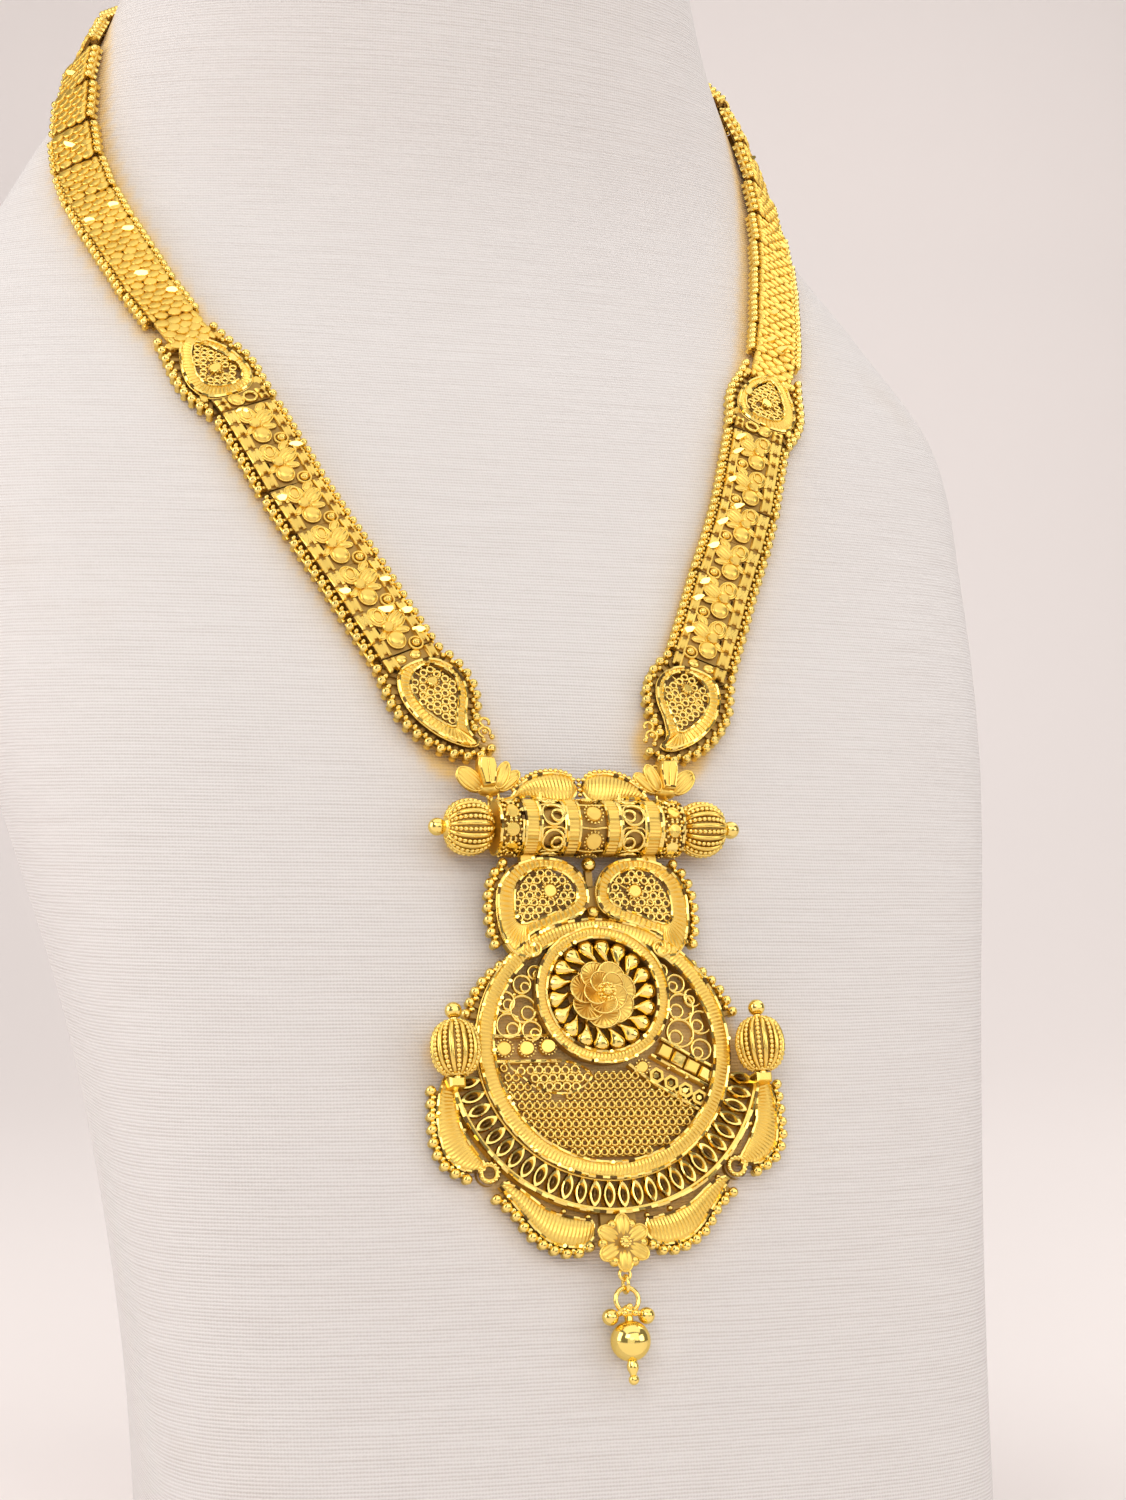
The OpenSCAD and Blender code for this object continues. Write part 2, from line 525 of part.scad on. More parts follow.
// The bracket and post that carry a melon bead at the medallion's side
side_post = [-26, 3];
side_axis_h = 4;
module side_foot() {
    slab(-27.4, -24.8, -6.6, -5.2, back_h, side_axis_h + 0.8);
    slab(-27.4, -24.8, -8.2, -5.2, back_h, plate_h + 0.5);
    translate([side_post[0], -5.6, side_axis_h]) rotate([-90, 0, 0]) cylinder(h = 10.2, r = 0.6, $fn = 20);
    ball(side_post[0], 5.6, side_axis_h, 1.4);
}
module side_bead() {
    color(gold) on_pendant() translate([side_post[0], -0.5, side_axis_h]) rotate([90, 0, 0])
        melon(8.6, 4.1, 14, 0.6 + play);
}
pin_r = 1.1;
rosette_teeth = 17;
module rosette() {
    base_h = plate_h + play;
    color(gold) on_pendant() difference() {
        translate([rosette_at[0], rosette_at[1], 0]) {
            translate([0, 0, back_h]) cylinder(h = 2, r = pin_r);
            translate([0, 0, base_h]) cylinder(h = 0.9, r = rosette_r - 0.4, $fn = 72);
            ring_band(9.4, rosette_r, base_h, 2.9);
            for (i = [0:rosette_teeth - 1]) rotate(i * 360 / rosette_teeth) {
                dome(8.2, 0.3, base_h + 0.8, 1.15, 0.9);
                rotate([0, 0, 12]) slab(5.6, 8, -0.45, 0.45, base_h + 0.8, base_h + 1.5);
            }
            for (i = [0:5]) rotate(i * 60) dome(3.4, 0.4, base_h + 0.8, 2.3, 1.9);
            for (i = [0:5]) rotate(i * 60 + 18) dome(1.9, 0.2, base_h + 1.9, 1.6, 1.7);
            translate([0, 0, base_h]) cylinder(h = 3.6, r = 1.6);
            ball(0, 0, base_h + 4.2, 1.2);
        }
        ring_band(ring_in - play, ring_r + play, -1, ring_h + play);
    }
}
twin_outline = smooth([[-10.4, 15.6], [-12.6, 15], [-14.4, 15.8], [-16, 18.6], [-16.6, 22.6], [-16.1, 26.8],
    [-13.8, 30.1], [-10, 31.7], [-6, 31.7], [-2.6, 30.1], [-0.9, 27], [-1, 24], [-2.6, 22.2], [-5.6, 20.9],
    [-9.4, 19.6], [-11.6, 18.4]]);
twin_window = smooth([[-13.6, 22.2], [-13.2, 26.6], [-10.8, 29.4], [-7.2, 30.1], [-4, 28.6], [-2.7, 26],
    [-3.4, 24.2], [-6.2, 22.8], [-9.8, 21.4], [-12.4, 20.6]]);
twin_holes = [[-11.6, 23.4], [-11.4, 26.6], [-8.6, 28.7], [-4.6, 27.2], [-5.4, 24.4], [-8.6, 23.4]];
twin_bead_line = [[-14.9, 31.2], [-17, 28.6], [-17.9, 24.8], [-17.9, 20.8], [-17.2, 17.4]];
sleeve_x = [9.3, 11.9];
sleeve_play = 0.15;
module paisley_plate() {
    color(gold) on_pendant() difference() {
        union() {
            for (s = sides) side(s) {
                teardrop(twin_outline, twin_window, twin_holes, [-7.4, 26.2], back_h);
                translate([0, 0, back_h + 1]) linear_extrude(1.6) difference() {
                    polygon(twin_outline);
                    offset(-0.9) polygon(twin_outline);
                }
                translate([0, 0, back_h + 0.5]) linear_extrude(2.8) intersection() {
                    polygon(twin_outline);
                    circle(ring_r + 1.2);
                }
                bead_wall(twin_bead_line, back_h, plate_h);
                bead_line(twin_bead_line, 8, back_h, plate_h + 0.3, bead_r);
                translate([0, 0, back_h]) linear_extrude(0.7)
                    polygon(concat(twin_bead_line, [[-14.6, 18], [-14.8, 29]]));
                translate([-sleeve_x[1], barrel_s, barrel_h]) rotate([0, 90, 0]) difference() {
                    cylinder(h = sleeve_x[1] - sleeve_x[0], r = tube_r + 0.7, $fn = 48);
                    translate([0, 0, -1]) cylinder(h = 5, r = tube_r + sleeve_play, $fn = 48);
                }
                slab(-sleeve_x[1], -sleeve_x[0], 30.6, barrel_s - tube_r - 0.3, back_h + 0.3, 1.9);
            }
            slab(-1.6, 1.6, 23.4, 27.4, back_h, plate_h);
            ball(0, 31, 0.4, 1.2);
            slab(-0.6, 0.6, 27, 31, back_h, plate_h);
            capsule(0, 22.9, back_h, plate_h + 0.4, 1.1);
        }
        translate([0, 0, -2]) cylinder(h = 2 + ring_h + play, r = ring_r + play, $fn = 96);
        for (x = [-rivet[0], rivet[0]]) post(x, rivet[1], 0, 5, rivet_r + play);
    }
}
module along_x(x0) { translate([x0, barrel_s, barrel_h]) rotate([0, 90, 0]) children(); }
scroll_x = 6.9;
band_x = 2.3;
band_w = 2.4;
collar_x = 12.1;
collar_w = 0.8;
module barrel() {
    wall = 0.7;
    color(gold) on_pendant() {
        difference() {
            union() {
                along_x(-barrel_end) cylinder(h = 2 * barrel_end, r = tube_r, $fn = 48);
                for (x = [-band_x - band_w, band_x]) along_x(x)
                    cylinder(h = band_w, r = tube_r + 0.5, $fn = 48);
                for (x = [-barrel_end, barrel_end - collar_w, -collar_x - collar_w, collar_x]) along_x(x)
                    cylinder(h = collar_w, r = tube_r + 0.4, $fn = 48);
            }
            along_x(-barrel_end + wall) cylinder(h = 2 * (barrel_end - wall), r = tube_r - wall, $fn = 48);
            for (x = [-scroll_x, scroll_x], y = [-1.9, 1.9]) post(x, barrel_s + y, barrel_h, 9, 1);
            for (x = [-crest_leg_x, crest_leg_x]) translate([x, barrel_s, crest_h]) rotate([-90, 0, 0])
                cylinder(h = 9, r = 0.5 + play, $fn = 20);
        }
        for (y = [-2.2, 2.2]) dome(0, barrel_s + y, barrel_h + tube_r - 0.9, 1.7, 1.1);
        for (m = sides) side(m) {
            along_x(-25) cylinder(h = 9.4, r = 0.6, $fn = 20);
            ball(-25.8, barrel_s, barrel_h, 1.5);
            translate([-connector_x, bail_s, connector_h]) rotate([0, 90, 0]) ring(eye_r, eye_wire);
        }
    }
}
module barrel_bead() {
    color(gold) on_pendant() along_x(-20.4) melon(7.6, 4.8, 14, 0.6 + play);
}
crest_h = -0.9;
crest_leg_x = 7;
crest_leaf = smooth([[-12, 43.2], [-10, 45.7], [-7, 47.1], [-3.6, 47.2], [-0.9, 46], [-0.2, 44.2],
    [-2.2, 43.1], [-6.2, 42.9], [-10, 42.9]]);
module crest() {
    crest_t = 1.2;
    color(gold) on_pendant() translate([0, 0, crest_h]) {
        for (s = sides) side(s) {
            translate([0, 0, -crest_t / 2]) linear_extrude(crest_t) polygon(crest_leaf);
            translate([0, 0, crest_t / 2]) linear_extrude(0.6) offset(-0.7) polygon(crest_leaf);
            translate([-crest_leg_x, 40.6, 0]) rotate([-90, 0, 0]) cylinder(h = 3.4, r = 0.5, $fn = 20);
            bead_line([[-10.3, 46.1], [-8.4, 46.9], [-5, 47.6], [-1.8, 46.9]], 6, -crest_t / 2, 0.2, 0.7);
        }
        translate([0, 0, -crest_t / 2]) linear_extrude(crest_t) translate([-0.8, 43.4]) square([1.6, 2.4]);
    }
}
connector_x = 15.5;
connector_h = -1.6;
bail_s = 42.4;
ring_step = 2 * (eye_r - eye_wire) - 0.1;
// The two rings that join the connector to the lower paisley lie one step apart in the paisley's frame
module lower_paisley_place() { multmatrix(frame_between(0, lower_end)) children(); }
module flower_connector() {
    color(gold) {
        on_pendant() translate([-connector_x, 0, connector_h]) {
            translate([0, bail_s + ring_step, 0]) ring(eye_r, eye_wire);
            rod([0, bail_s + ring_step + eye_r, 0], [-0.6, 46, 0.3], 0.5);
            translate([-1, 46, -0.1]) {
                cylinder(h = 0.8, r = 2.1);
                dome(-2.6, 0.2, 0, 1.75, 1.7);
                dome(0, 1.2, 0, 1.9, 2);
                dome(2.5, 0.1, 0, 1.65, 1.7);
            }
        }
        lower_paisley_place() translate([eye_x, -lower_eye - ring_step, eye_z]) {
            ring(eye_r, eye_wire);
            rod([0, -eye_r, 0], [-1.1, -2.3, 1.2], 0.45);
        }
    }
}
flower_s = -31.9;
flower_pin = 0.8;
drop_h = 1.4;
module bottom_flower() {
    base_h = ring_h + play;
    color(gold) on_pendant() {
        translate([0, flower_s, base_h]) {
            cylinder(h = 0.8, r = 3);
            for (i = [0:5]) rotate(i * 60) dome(0, 3.1, 0, 1.55, 1);
            for (i = [0:5]) rotate(i * 60 + 30) dome(0, 2.3, 0.6, 1.5, 1.2);
            dome(0, 0, 0.7, 1.3, 1.9);
        }
        post(0, flower_s, back_h, base_h + 0.3, flower_pin);
        translate([0, flower_s - 4.9, drop_h]) ring(0.9, 0.3);
        rod([0, flower_s - 3, base_h + 0.3], [0, flower_s - 4.1, drop_h], 0.35);
    }
}
module jump_ring() {
    color(gold) on_pendant() translate([0, flower_s - 6.45, drop_h]) rotate([0, 90, 0]) ring(1.35, 0.3);
}
module drop() {
    arch_s = flower_s - 8.9;
    ball_s = -47.2;
    color(gold) on_pendant() translate([0, 0, drop_h]) {
        translate([0, arch_s, 0]) ring(1.9, 0.4);
        for (x = [-3, 3]) {
            ball(x, -43.4, 0, 1.35);
            rod([0, -42.4, 0], [x, -43.4, 0], 0.5);
        }
        ball(0, -42.6, 0, 1.1);
        ball(0, ball_s, 0, drop_r);
        rod([0, -42.4, 0], [0, -44.6, 0], 0.7);
        rod([0, ball_s - 3, 0], [0, ball_s - 5.4, 0], 0.75);
        ball(0, ball_s - 6, 0, 0.85);
    }
}

/* Assembly */
module link(i) {
    lower = i <= lower_links;
    s0 = joint_s(lower ? i - 1 : i);
    s1 = s0 + (lower ? lower_pitch : upper_pitch);
    l = norm(spot(s1) - spot(s0));
    color(gold) {
        multmatrix(frame_between(s0, s1)) {
            if (lower) lower_link(trim(s0), l - trim(s1));
            else upper_link(trim(s0), l - trim(s1));
        }
        hinges(s0, i == last_link ? 0 : s1, lower);
        if (i == last_link) last_eye();
    }
}
// The hinge bar at a piece's start and the hinge rings at its end
module hinges(s0, s1, wide) {
    if (s0 > 0) multmatrix(frame_at(s0)) hinge_bar(wide ? -lower_half : upper_x[0],
        wide ? lower_half : upper_x[1]);
    if (s1 > 0) multmatrix(frame_at(s1)) hinge_rings();
}
placed() neck_bust();
for (s = sides) placed() side(s) {
    color(gold) {
        lower_paisley_place() lower_paisley();
        hinges(0, lower_end, true);
    }
    color(gold) {
        multmatrix(frame_between(mid_start, upper_start)) mid_paisley();
        hinges(mid_start, upper_start, true);
    }
    for (i = [1:last_link]) link(i);
    flower_connector();
    barrel_bead();
    side_bead();
}
placed() back_chain();
placed() clasp();
placed() crest();
placed() barrel();
placed() paisley_plate();
placed() medallion();
placed() rosette();
placed() bottom_flower();
placed() jump_ring();
placed() drop();
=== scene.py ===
# Looks for the long necklace on its neck bust: gold work, linen, camera and light. Lengths here are in mm.
import bpy
import math
import numpy as np
from mathutils import Matrix, Vector
from mathutils.geometry import tessellate_polygon


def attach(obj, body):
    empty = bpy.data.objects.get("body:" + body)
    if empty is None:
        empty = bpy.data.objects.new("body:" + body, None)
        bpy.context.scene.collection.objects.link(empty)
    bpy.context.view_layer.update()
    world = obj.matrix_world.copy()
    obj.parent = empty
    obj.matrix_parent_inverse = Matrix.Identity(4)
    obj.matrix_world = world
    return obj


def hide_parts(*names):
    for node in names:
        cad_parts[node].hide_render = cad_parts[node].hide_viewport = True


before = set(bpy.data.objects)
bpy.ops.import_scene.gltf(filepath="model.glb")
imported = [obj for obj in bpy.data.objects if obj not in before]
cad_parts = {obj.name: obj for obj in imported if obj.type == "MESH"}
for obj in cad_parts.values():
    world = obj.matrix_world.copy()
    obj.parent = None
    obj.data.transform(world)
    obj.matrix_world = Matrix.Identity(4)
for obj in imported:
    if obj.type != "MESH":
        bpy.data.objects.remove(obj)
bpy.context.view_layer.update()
rng = np.random.default_rng(7)
MM = 0.001
# The middle of the bust's depth, where the frame has y = 0
CENTRE_Y = 74.81
# The golds, by their place in GOLDS. The third is a darker gold that paints shade in recesses, under the work and
# between parts; the fifth is a near-black gold that paints dark reflections on a share of the cut facets and in the
# spokes' hollows
BRIGHT, SATIN, PAINTED_SHADE, MATT, PAINTED_DARK = range(5)
SIDES = ("left", "right")

# The bust by height: half width, front, middle, back, and how square its front is
BUST = np.array([
    [0, 69.5, -28, 10, 140, 3.5], [50, 72.5, -13, 22, 141, 4.0], [100, 80, 1.5, 44, 142, 4.1],
    [150, 93, 22, 72, 145, 3.6], [185, 99.5, 42, 86, 150, 3.0], [215, 103, 61, 101, 156, 2.5],
    [240, 97, 80, 122, 162, 2.1], [265, 83.5, 93, 136, 168, 2.0], [295, 66.5, 95, 132, 172, 2.0],
    [325, 56, 92, 126, 174, 2.0]])
BUST_TOP = 325
# The band's route on the bust, the same as in the part: degrees from the front, and height
ROUTE = np.array([
    [20, 148], [24.5, 156], [30, 166], [34.5, 173.5], [38.7, 181], [43, 188.6], [46.8, 196.4],
    [50.2, 204.6], [55.4, 217.5], [60, 230], [64.3, 243.5], [69.5, 257.5], [74.5, 269], [81, 282],
    [88, 292], [98, 300], [112, 305], [130, 308], [155, 310], [180, 310]], float)
# Heights above the route: the band's gap to the cloth, its sheet, the sheet's top, the rails and the skirt
LIFT, SHEET_Z, TOP_Z, RAIL_Z, SKIRT_Z = 0.2, 2.1, 2.7, 3.05, 0.5
# Heights above the pendant's plane: its back, its plate and its ring's top
BACK, PLATE, RING = -0.8, 0.4, 1.7
BAND_EDGE, PENDANT_EDGE = (SKIRT_Z + 0.1, SHEET_Z + 0.15), (BACK, PLATE + 0.3)
BEAD_R = 0.85
# The sheets from side to side: the lower links', and the upper links'
LOWER_X, UPPER_X = (-4.9, 4.9), (-4.6, 3.7)
# Radii: the medallion's ring outside and inside, the fan's spokes and its outer wire
RING_R, RING_IN, SPOKE_R, FAN_R = 21.6, 18.7, 24.05, 26.85
# The width of the fine ridges on the borders
RIDGE = 0.68
# Joints along the route: the teardrops' ends and the links' pitches
LOWER_END, MID_START, MID_END, LOWER_PITCH, UPPER_PITCH = 10.6, 68.8, 96.4, 9.7, 10.6
LOWER_L, UPPER_L = 9.46, 10.36
LAST_LOWER, LAST_LINK = 6, 17
ROSETTE_Y, BOTTOM_Y, TUBE_Y, TUBE_Z, TUBE_R = 8.5, -31.9, 37.2, 1.1, 4.3
DROP_Z = 1.4
# The key lamp and the camera
KEY_AT = np.array([-750, -1050 + CENTRE_Y, 950])
EYE_AT = np.array([-141.20, -418.03, 133.60])


# A cubic between two values with given slopes
def hermite(a, b, ma, mb, u):
    return a * (2*u**3 - 3*u*u + 1) + b * (3*u*u - 2*u**3) + ma * (u**3 - 2*u*u + u) + mb * (u**3 - u*u)


def unit(v):
    v = np.asarray(v, float)
    return v / np.linalg.norm(v, axis=-1, keepdims=True)


def direction(deg):
    return np.array([math.cos(math.radians(deg)), math.sin(math.radians(deg))])


def turned(deg):
    c, s = direction(deg)
    return np.array([[c, s], [-s, c]])


def lifted(xy, z):
    return np.column_stack([xy, np.full(len(xy), z)])


def moved(x, y, z=0.0):
    return np.array([[1, 0, 0, x], [0, 1, 0, y], [0, 0, 1, z]])


def spun(deg, x=0.0, y=0.0):
    t = turned(-deg)
    return np.array([[*t[0], 0, x], [*t[1], 0, y], [0, 0, 1, 0]])


# What is drawn along z, laid along x or along y
def along_x(x, y, z):
    return np.array([[0, 0, 1, x], [1, 0, 0, y], [0, 1, 0, z]])


def along_y(x, y, z):
    return np.array([[1, 0, 0, x], [0, 0, 1, y], [0, -1, 0, z]])


MIRROR = np.array([[-1, 0, 0, 0], [0, 1, 0, 0], [0, 0, 1, 0]])


# The bust's measures at a height, smooth between the rows of its table
def bust_row(z):
    t = BUST
    i = int(np.clip(np.searchsorted(t[:, 0], z) - 1, 0, len(t) - 2))
    h = t[i + 1, 0] - t[i, 0]

    def slope(k):
        a, b = max(k - 1, 0), min(k + 1, len(t) - 1)
        return (t[b, 1:] - t[a, 1:]) / (t[b, 0] - t[a, 0])
    return hermite(t[i, 1:], t[i + 1, 1:], h * slope(i), h * slope(i + 1), (z - t[i, 0]) / h)


# A point of the bust's surface: degrees from the front, and height
def skin(a, z):
    w, a = bust_row(z), math.radians(a)
    front = math.cos(a) > 0
    d, n = (w[2] - w[1], w[4]) if front else (w[3] - w[2], 2)
    r = (abs(math.sin(a) / w[0]) ** n + abs(math.cos(a) / d) ** n) ** (-1 / n)
    return np.array([-r * math.sin(a), w[2] - r * math.cos(a), z])


def skin_normal(a, z):
    return unit(np.cross(skin(a, z + 1) - skin(a, z - 1), skin(a + 1, z) - skin(a - 1, z)))


# A line through a few points, rounded between them
def curve(p, n=6, closed=False):
    p = np.asarray(p, float)
    m = len(p)
    got = []
    for k in range(m if closed else m - 1):
        near = np.arange(k - 1, k + 3)
        o, a, b, q = p[near % m if closed else np.clip(near, 0, m - 1)]
        got += [hermite(a, b, (b - o) / 2, (q - a) / 2, i / n) for i in range(n)]
    return np.array(got if closed else got + [p[-1]])


ROUTE_U = np.arange((len(ROUTE) - 1) * 12 + 1) / 12
ROUTE_P = np.array([skin(*v) for v in curve(ROUTE, 12)])
ROUTE_L = np.concatenate([[0], np.cumsum(np.linalg.norm(np.diff(ROUTE_P, axis=0), axis=1))])
ROUTE_0 = np.interp(1, ROUTE_U, ROUTE_L)


# Angle and height at a length along the route from the band's lower eye
def route_at(s):
    u = float(np.interp(s + ROUTE_0, ROUTE_L, ROUTE_U))
    k = min(int(u), len(ROUTE) - 2)
    o, a, b, q = ROUTE[np.clip(np.arange(k - 1, k + 3), 0, len(ROUTE) - 1)]
    return hermite(a, b, (b - o) / 2, (q - a) / 2, u - k)


def out(s):
    return skin_normal(*route_at(s))


# The band's underside at a length along the route
def spot(s):
    return skin(*route_at(s)) + LIFT * out(s)


# A frame at a point: y along the band, z away from the cloth
def axes(p, y, z):
    ey = unit(y)
    ex = unit(np.cross(ey, z))
    return np.column_stack([ex, ey, np.cross(ex, ey), p])


def between(a, b):
    return axes(spot(a), spot(b) - spot(a), out((a + b) / 2))


def frame_at(s, reach=5):
    return axes(spot(s), spot(s + reach) - spot(s - reach), out(s))


# How far a link ends before its joint, so that it clears its neighbour in the bend
def trim(s):
    f = frame_at(s)
    turn = unit(spot(s + 10) - spot(s)) - unit(spot(s) - spot(s - 10))
    return 0.12 + (7.2 * abs(turn @ f[:, 0]) + 4 * max(turn @ f[:, 2], 0)) / 2


def span(a, b):
    return float(np.linalg.norm(spot(b) - spot(a)))


# The pendant's plane leans back by 17 degrees
BACK_LEAN = np.array([math.sin(math.radians(17)), math.cos(math.radians(17))])
PENDANT = np.array([[1, 0, 0, 0], [0, BACK_LEAN[0], -BACK_LEAN[1], 0], [0, BACK_LEAN[1], BACK_LEAN[0], 100]])


# Twice an outline's area, positive if it runs anticlockwise
def area2(p):
    x, y = p[:, 0], p[:, 1]
    return float((x * np.roll(y, -1) - np.roll(x, -1) * y).sum())


def anticlockwise(p):
    return p if area2(p) > 0 else p[::-1]


def line_length(p, closed=False):
    q = np.concatenate([p, p[:1]]) if closed else p
    return float(np.linalg.norm(np.diff(q, axis=0), axis=1).sum())


# Points at even steps along a line, by their number or by the step
def resample(p, n=None, step=None, closed=False, shift=0.0):
    p = np.asarray(p, float)
    q = np.concatenate([p, p[:1]]) if closed else p
    l = np.concatenate([[0], np.cumsum(np.linalg.norm(np.diff(q, axis=0), axis=1))])
    if n is None:
        n = max(3, int(round(l[-1] / step)) + (0 if closed else 1))
    s = (np.arange(n) / n if closed else np.linspace(0, 1, n)) * l[-1] + shift
    s = s % l[-1] if closed else np.clip(s, 0, l[-1])
    return np.stack([np.interp(s, l, q[:, k]) for k in range(q.shape[1])], -1)


def inside(poly, p):
    x, y = p[:, 0][:, None], p[:, 1][:, None]
    a, b = poly, np.roll(poly, -1, 0)
    cross = ((a[:, 1] > y) != (b[:, 1] > y)) & (
        x < (b[:, 0] - a[:, 0]) * (y - a[:, 1]) / (b[:, 1] - a[:, 1] + 1e-12) + a[:, 0])
    return cross.sum(1) % 2 == 1


def edge_distance(poly, p):
    a, d = poly, np.roll(poly, -1, 0) - poly
    w = p[:, None] - a[None]
    t = np.clip((w * d).sum(-1) / np.maximum((d * d).sum(-1), 1e-12), 0, 1)
    return np.linalg.norm(w - t[..., None] * d, axis=-1).min(1)


# Points in staggered rows inside a region, clear of its edge and of some discs
def lattice(region, pitch, edge, keep_off=(), rise=0.87):
    lo, hi = region.min(0), region.max(0)
    rows = int((hi[1] - lo[1]) / (pitch * rise)) + 2
    cols = int((hi[0] - lo[0]) / pitch) + 2
    p = np.array([[lo[0] + (i + 0.5 * (j % 2)) * pitch, lo[1] + j * pitch * rise]
                  for j in range(rows) for i in range(cols)])
    ok = inside(region, p) & (edge_distance(region, p) > edge)
    for x, y, r in keep_off:
        ok &= np.hypot(p[:, 0] - x, p[:, 1] - y) > r
    return p[ok]


# For each point of a, the nearest of b
def nearest(a, b):
    return b[np.linalg.norm(a[:, None] - b[None], axis=-1).argmin(1)]


# The outline drawn in by a distance
def inset(p, d):
    t = unit(np.roll(p, -1, 0) - np.roll(p, 1, 0))
    n = np.column_stack([-t[:, 1], t[:, 0]]) * (1 if area2(p) > 0 else -1)
    return p + d * n


def around(n):
    return np.arange(n) * 2 * np.pi / n


def oval(n, rx, ry):
    return np.column_stack([rx * np.cos(around(n)), ry * np.sin(around(n))])


def circle(r, n=96, z=0.0, c=(0, 0), a0=0, a1=360):
    a = np.radians(np.linspace(a0, a1, n, endpoint=a1 - a0 < 360))
    return np.column_stack([c[0] + r * np.cos(a), c[1] + r * np.sin(a), np.full(n, z)])


# A heap of surfaces in one local frame
class Heap:
    def __init__(self):
        self.parts = []

    def add(self, v, f, mat, smooth):
        self.parts.append((np.asarray(v, float).reshape(-1, 3), np.asarray(f, int), mat, smooth))

    # Points in rows, one sheet or many, closed round u or v, with a fan of triangles at either end
    def grid(self, p, mat=SATIN, smooth=True, cu=False, cv=False, bottom=None, top=None):
        p = np.asarray(p, float)
        p = p.reshape((-1,) + p.shape[-3:])
        k, nu, nv, _ = p.shape
        i, j = np.arange(nu if cu else nu - 1), np.arange(nv if cv else nv - 1)
        i2, j2 = (i + 1) % nu, (j + 1) % nv
        q = np.stack([a[:, None] * nv + b[None, :] for a, b in ((i, j), (i2, j), (i2, j2), (i, j2))], -1)
        off = np.arange(k)[:, None, None] * nu * nv
        self.add(p, (q.reshape(1, -1, 4) + off).reshape(-1, 4), mat, smooth)
        for centre, v, rim in ((bottom, 0, (i2, i)), (top, nv - 1, (i, i2))):
            if centre is not None:
                c = np.asarray(centre, float).reshape(-1, 3)
                f = np.stack([np.full(len(i), nu), *rim], -1)[None] + np.arange(k)[:, None, None] * (nu + 1)
                self.add(np.concatenate([p[:, :, v], c[:, None]], 1), f.reshape(-1, 3), mat, smooth)

    def join(self, other, m=None):
        for v, f, mat, smooth in other.parts:
            if m is not None:
                v = v @ m[:, :3].T + m[:, 3]
                if np.linalg.det(m[:, :3]) < 0:
                    f = f[:, ::-1]
            self.parts.append((v, f, mat, smooth))

    def both_sides(self, half):
        self.join(half)
        self.join(half, MIRROR)

    # Profiles turned about z at each centre, from the bottom up
    def lathe(self, c, prof, seg=12, mat=SATIN, poles=(None, None), ends=True):
        c = np.asarray(c, float).reshape(-1, 3)
        prof = np.asarray(prof, float)
        a = around(seg)[:, None]
        p = np.stack([np.cos(a) * prof[:, 0], np.sin(a) * prof[:, 0], np.ones((seg, 1)) * prof[:, 1]], -1)
        low, high = (prof[k, 1] if pole is None else pole for k, pole in zip((0, -1), poles))
        ends = {"bottom": c + [0, 0, low], "top": c + [0, 0, high]} if ends else {}
        self.grid(p[None] + c[:, None, None], mat, cu=True, **ends)

    def balls(self, c, r, seg=12, rings=8, mat=BRIGHT):
        a = np.pi * np.arange(1, rings) / rings
        self.lathe(c, np.stack([r * np.sin(a), -r * np.cos(a)], -1), seg, mat, (-r, r))

    # Beads with straight sides below their middle
    def beads(self, xy, z0, z, r):
        a = np.radians([-45, -22, 0, 22, 45, 68])
        prof = [[r * 0.8, z0], *np.stack([r * np.cos(a), z + r * np.sin(a)], -1)]
        self.lathe(lifted(xy, 0), prof, 12, BRIGHT, (None, z + r))

    def torus(self, c, r, rw, rh, seg=20, sec=7, mat=SATIN):
        a, b = around(sec), around(seg)[:, None]
        ring = r + rw * np.cos(a)
        p = np.stack([np.cos(b) * ring, np.sin(b) * ring, np.ones((seg, 1)) * rh * np.sin(a)], -1)[:, ::-1]
        self.grid(p[None] + np.asarray(c, float).reshape(-1, 1, 1, 3), mat, cu=True, cv=True)

    # A ring that stands up, with its hole along x
    def side_ring(self, at, r, rw, seg, sec, mat):
        ring = Heap()
        ring.torus([0, 0, 0], r, rw, rw, seg, sec, mat)
        self.join(ring, along_x(*at))

    # A round wire along a line
    def wire(self, p, r, seg=6, mat=SATIN, closed=False):
        p = np.asarray(p, float)
        r = np.broadcast_to(np.asarray(r, float), (len(p),))
        t = unit(np.roll(p, -1, 0) - np.roll(p, 1, 0)) if closed else unit(np.gradient(p, axis=0))
        n1 = unit(np.cross(t, [0, 0, 1.0] if abs(t[:, 2]).max() < 0.9 else [0.3, 1, 0.1]))
        n2 = np.cross(t, n1)
        a = ((np.arange(seg) + 0.5) * 2 * np.pi / seg)[:, None, None]
        ends = {} if closed else {"bottom": p[0], "top": p[-1]}
        self.grid(p[None] + r[None, :, None] * (np.cos(a) * n1 + np.sin(a) * n2), mat, cu=True, cv=closed, **ends)

    # An edge cut with a diamond: short flat pieces, each turned a little at random
    def cut(self, p, r, closed=False, step=0.9, spread=0.6):
        p = resample(p, step=step, closed=closed)
        q = np.roll(p, -1, 0) if closed else p[1:]
        p = p if closed else p[:-1]
        n1 = unit(np.cross(unit(q - p), [0, 0, 1.0]))
        n2 = np.cross(unit(q - p), n1)
        a = (np.arange(4) * np.pi / 2)[:, None] + np.pi / 4 + rng.uniform(-spread, spread, len(p))
        side = r * (np.cos(a)[..., None] * n1 + np.sin(a)[..., None] * n2)
        g = np.stack([p[None] + side, q[None] + side], 2).transpose(1, 0, 2, 3)
        # About one piece in ten gets the near-black gold: a painted dark reflection, as of a facet turned away from the
        # lamps
        painted_dark_pieces = rng.random(len(p)) < 0.1
        for which, mat in ((~painted_dark_pieces, BRIGHT), (painted_dark_pieces, PAINTED_DARK)):
            if which.any():
                self.grid(g[which], mat, False, cu=True, bottom=p[which], top=q[which])

